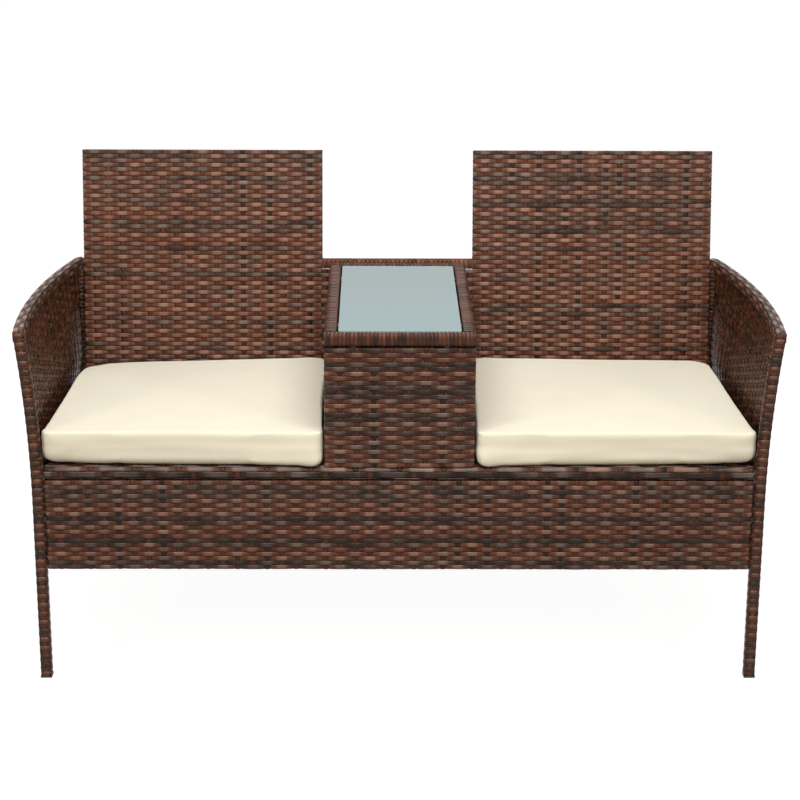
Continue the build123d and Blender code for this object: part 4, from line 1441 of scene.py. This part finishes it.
class WOVEN_BENCH_OT_cushions(bpy.types.Operator):
    """Sew and fill both seat cushions"""
    bl_idname = "woven_bench.cushions"
    bl_label = "Sew Cushions"

    def execute(self, context):
        material = fabric_material()
        for node in ("left_cushion", "right_cushion"):
            sew_cushion(node, material)
        return {"FINISHED"}


class WOVEN_BENCH_OT_finishes(bpy.types.Operator):
    """Finish the glass, the tubes and the hardware"""
    bl_idname = "woven_bench.finishes"
    bl_label = "Finish Glass and Hardware"

    def execute(self, context):
        finish = settings().finish
        paint(glass_material(), "glass_top")
        bumper = speckled_material("clear bumper", finish.bumper, roughness=0.3, grain=60.0)
        paint(bumper, "glass_bumpers")
        plastic = speckled_material("black plastic", finish.plastic, roughness=0.45, grain=300.0)
        paint(plastic, "foot_caps", "gap_spacers")
        zinc = speckled_material("zinc plate", finish.zinc, roughness=0.35, grain=500.0, metallic=1.0)
        paint(zinc, "frame_bolts", "bolt_washers", "bolt_nuts")
        slots = {part["node"]: part["material_slot"] for part in frame["record"]["subparts"]}
        tubes = [node for node, slot in slots.items() if slot == "frame_steel"]
        paint(speckled_material("painted steel", finish.steel, roughness=0.4, grain=250.0), *tubes)
        return {"FINISHED"}


class WOVEN_BENCH_OT_stage(bpy.types.Operator):
    """Set the floor, lights and camera"""
    bl_idname = "woven_bench.stage"
    bl_label = "Set Stage"

    def execute(self, context):
        stage = settings().stage
        build_camera(stage)
        build_world(stage.world_strength, stage.backdrop_strength)
        build_floor(stage.floor, stage.floor_glow)
        add_sun(stage.sun_strength)
        add_light("overhead", *overhead_light, stage.overhead_power)
        add_light("front", *front_light, stage.front_power, stage.front_tint)
        (x, y, z), target, size = side_light
        for side in (-1, 1):
            add_light("side", (side * x, y, z), target, size, stage.side_power, stage.front_tint)
        context.scene.view_settings.view_transform = "Standard"
        return {"FINISHED"}


class WOVEN_BENCH_PT_panel(bpy.types.Panel):
    """Buttons that dress the bench"""
    bl_idname = "WOVEN_BENCH_PT_panel"
    bl_label = "Woven Bench"
    bl_space_type = "VIEW_3D"
    bl_region_type = "UI"
    bl_category = "Woven Bench"

    def draw(self, context):
        for operator in operators:
            self.layout.operator(operator.bl_idname)
        for group in ("weave", "cushion", "finish", "stage"):
            box = self.layout.box()
            box.label(text=group.title())
            owner = getattr(settings(), group)
            for name in owner.__annotations__:
                box.prop(owner, name)


operators = (
    WOVEN_BENCH_OT_back, WOVEN_BENCH_OT_apron, WOVEN_BENCH_OT_seat, WOVEN_BENCH_OT_arms,
    WOVEN_BENCH_OT_table_top, WOVEN_BENCH_OT_table_box, WOVEN_BENCH_OT_cushions, WOVEN_BENCH_OT_finishes,
    WOVEN_BENCH_OT_stage,
)
groups = (WeaveSettings, CushionSettings, FinishSettings, StageSettings, BenchSettings)


def register():
    for entry in (*groups, *operators, WOVEN_BENCH_PT_panel):
        bpy.utils.register_class(entry)
    bpy.types.Scene.woven_bench = bpy.props.PointerProperty(type=BenchSettings)


def unregister():
    del bpy.types.Scene.woven_bench
    for entry in reversed((*groups, *operators, WOVEN_BENCH_PT_panel)):
        bpy.utils.unregister_class(entry)


def main():
    register()
    for operator in operators:
        area, name = operator.bl_idname.split(".")
        getattr(getattr(bpy.ops, area), name)()


if __name__ == "__main__":
    main()
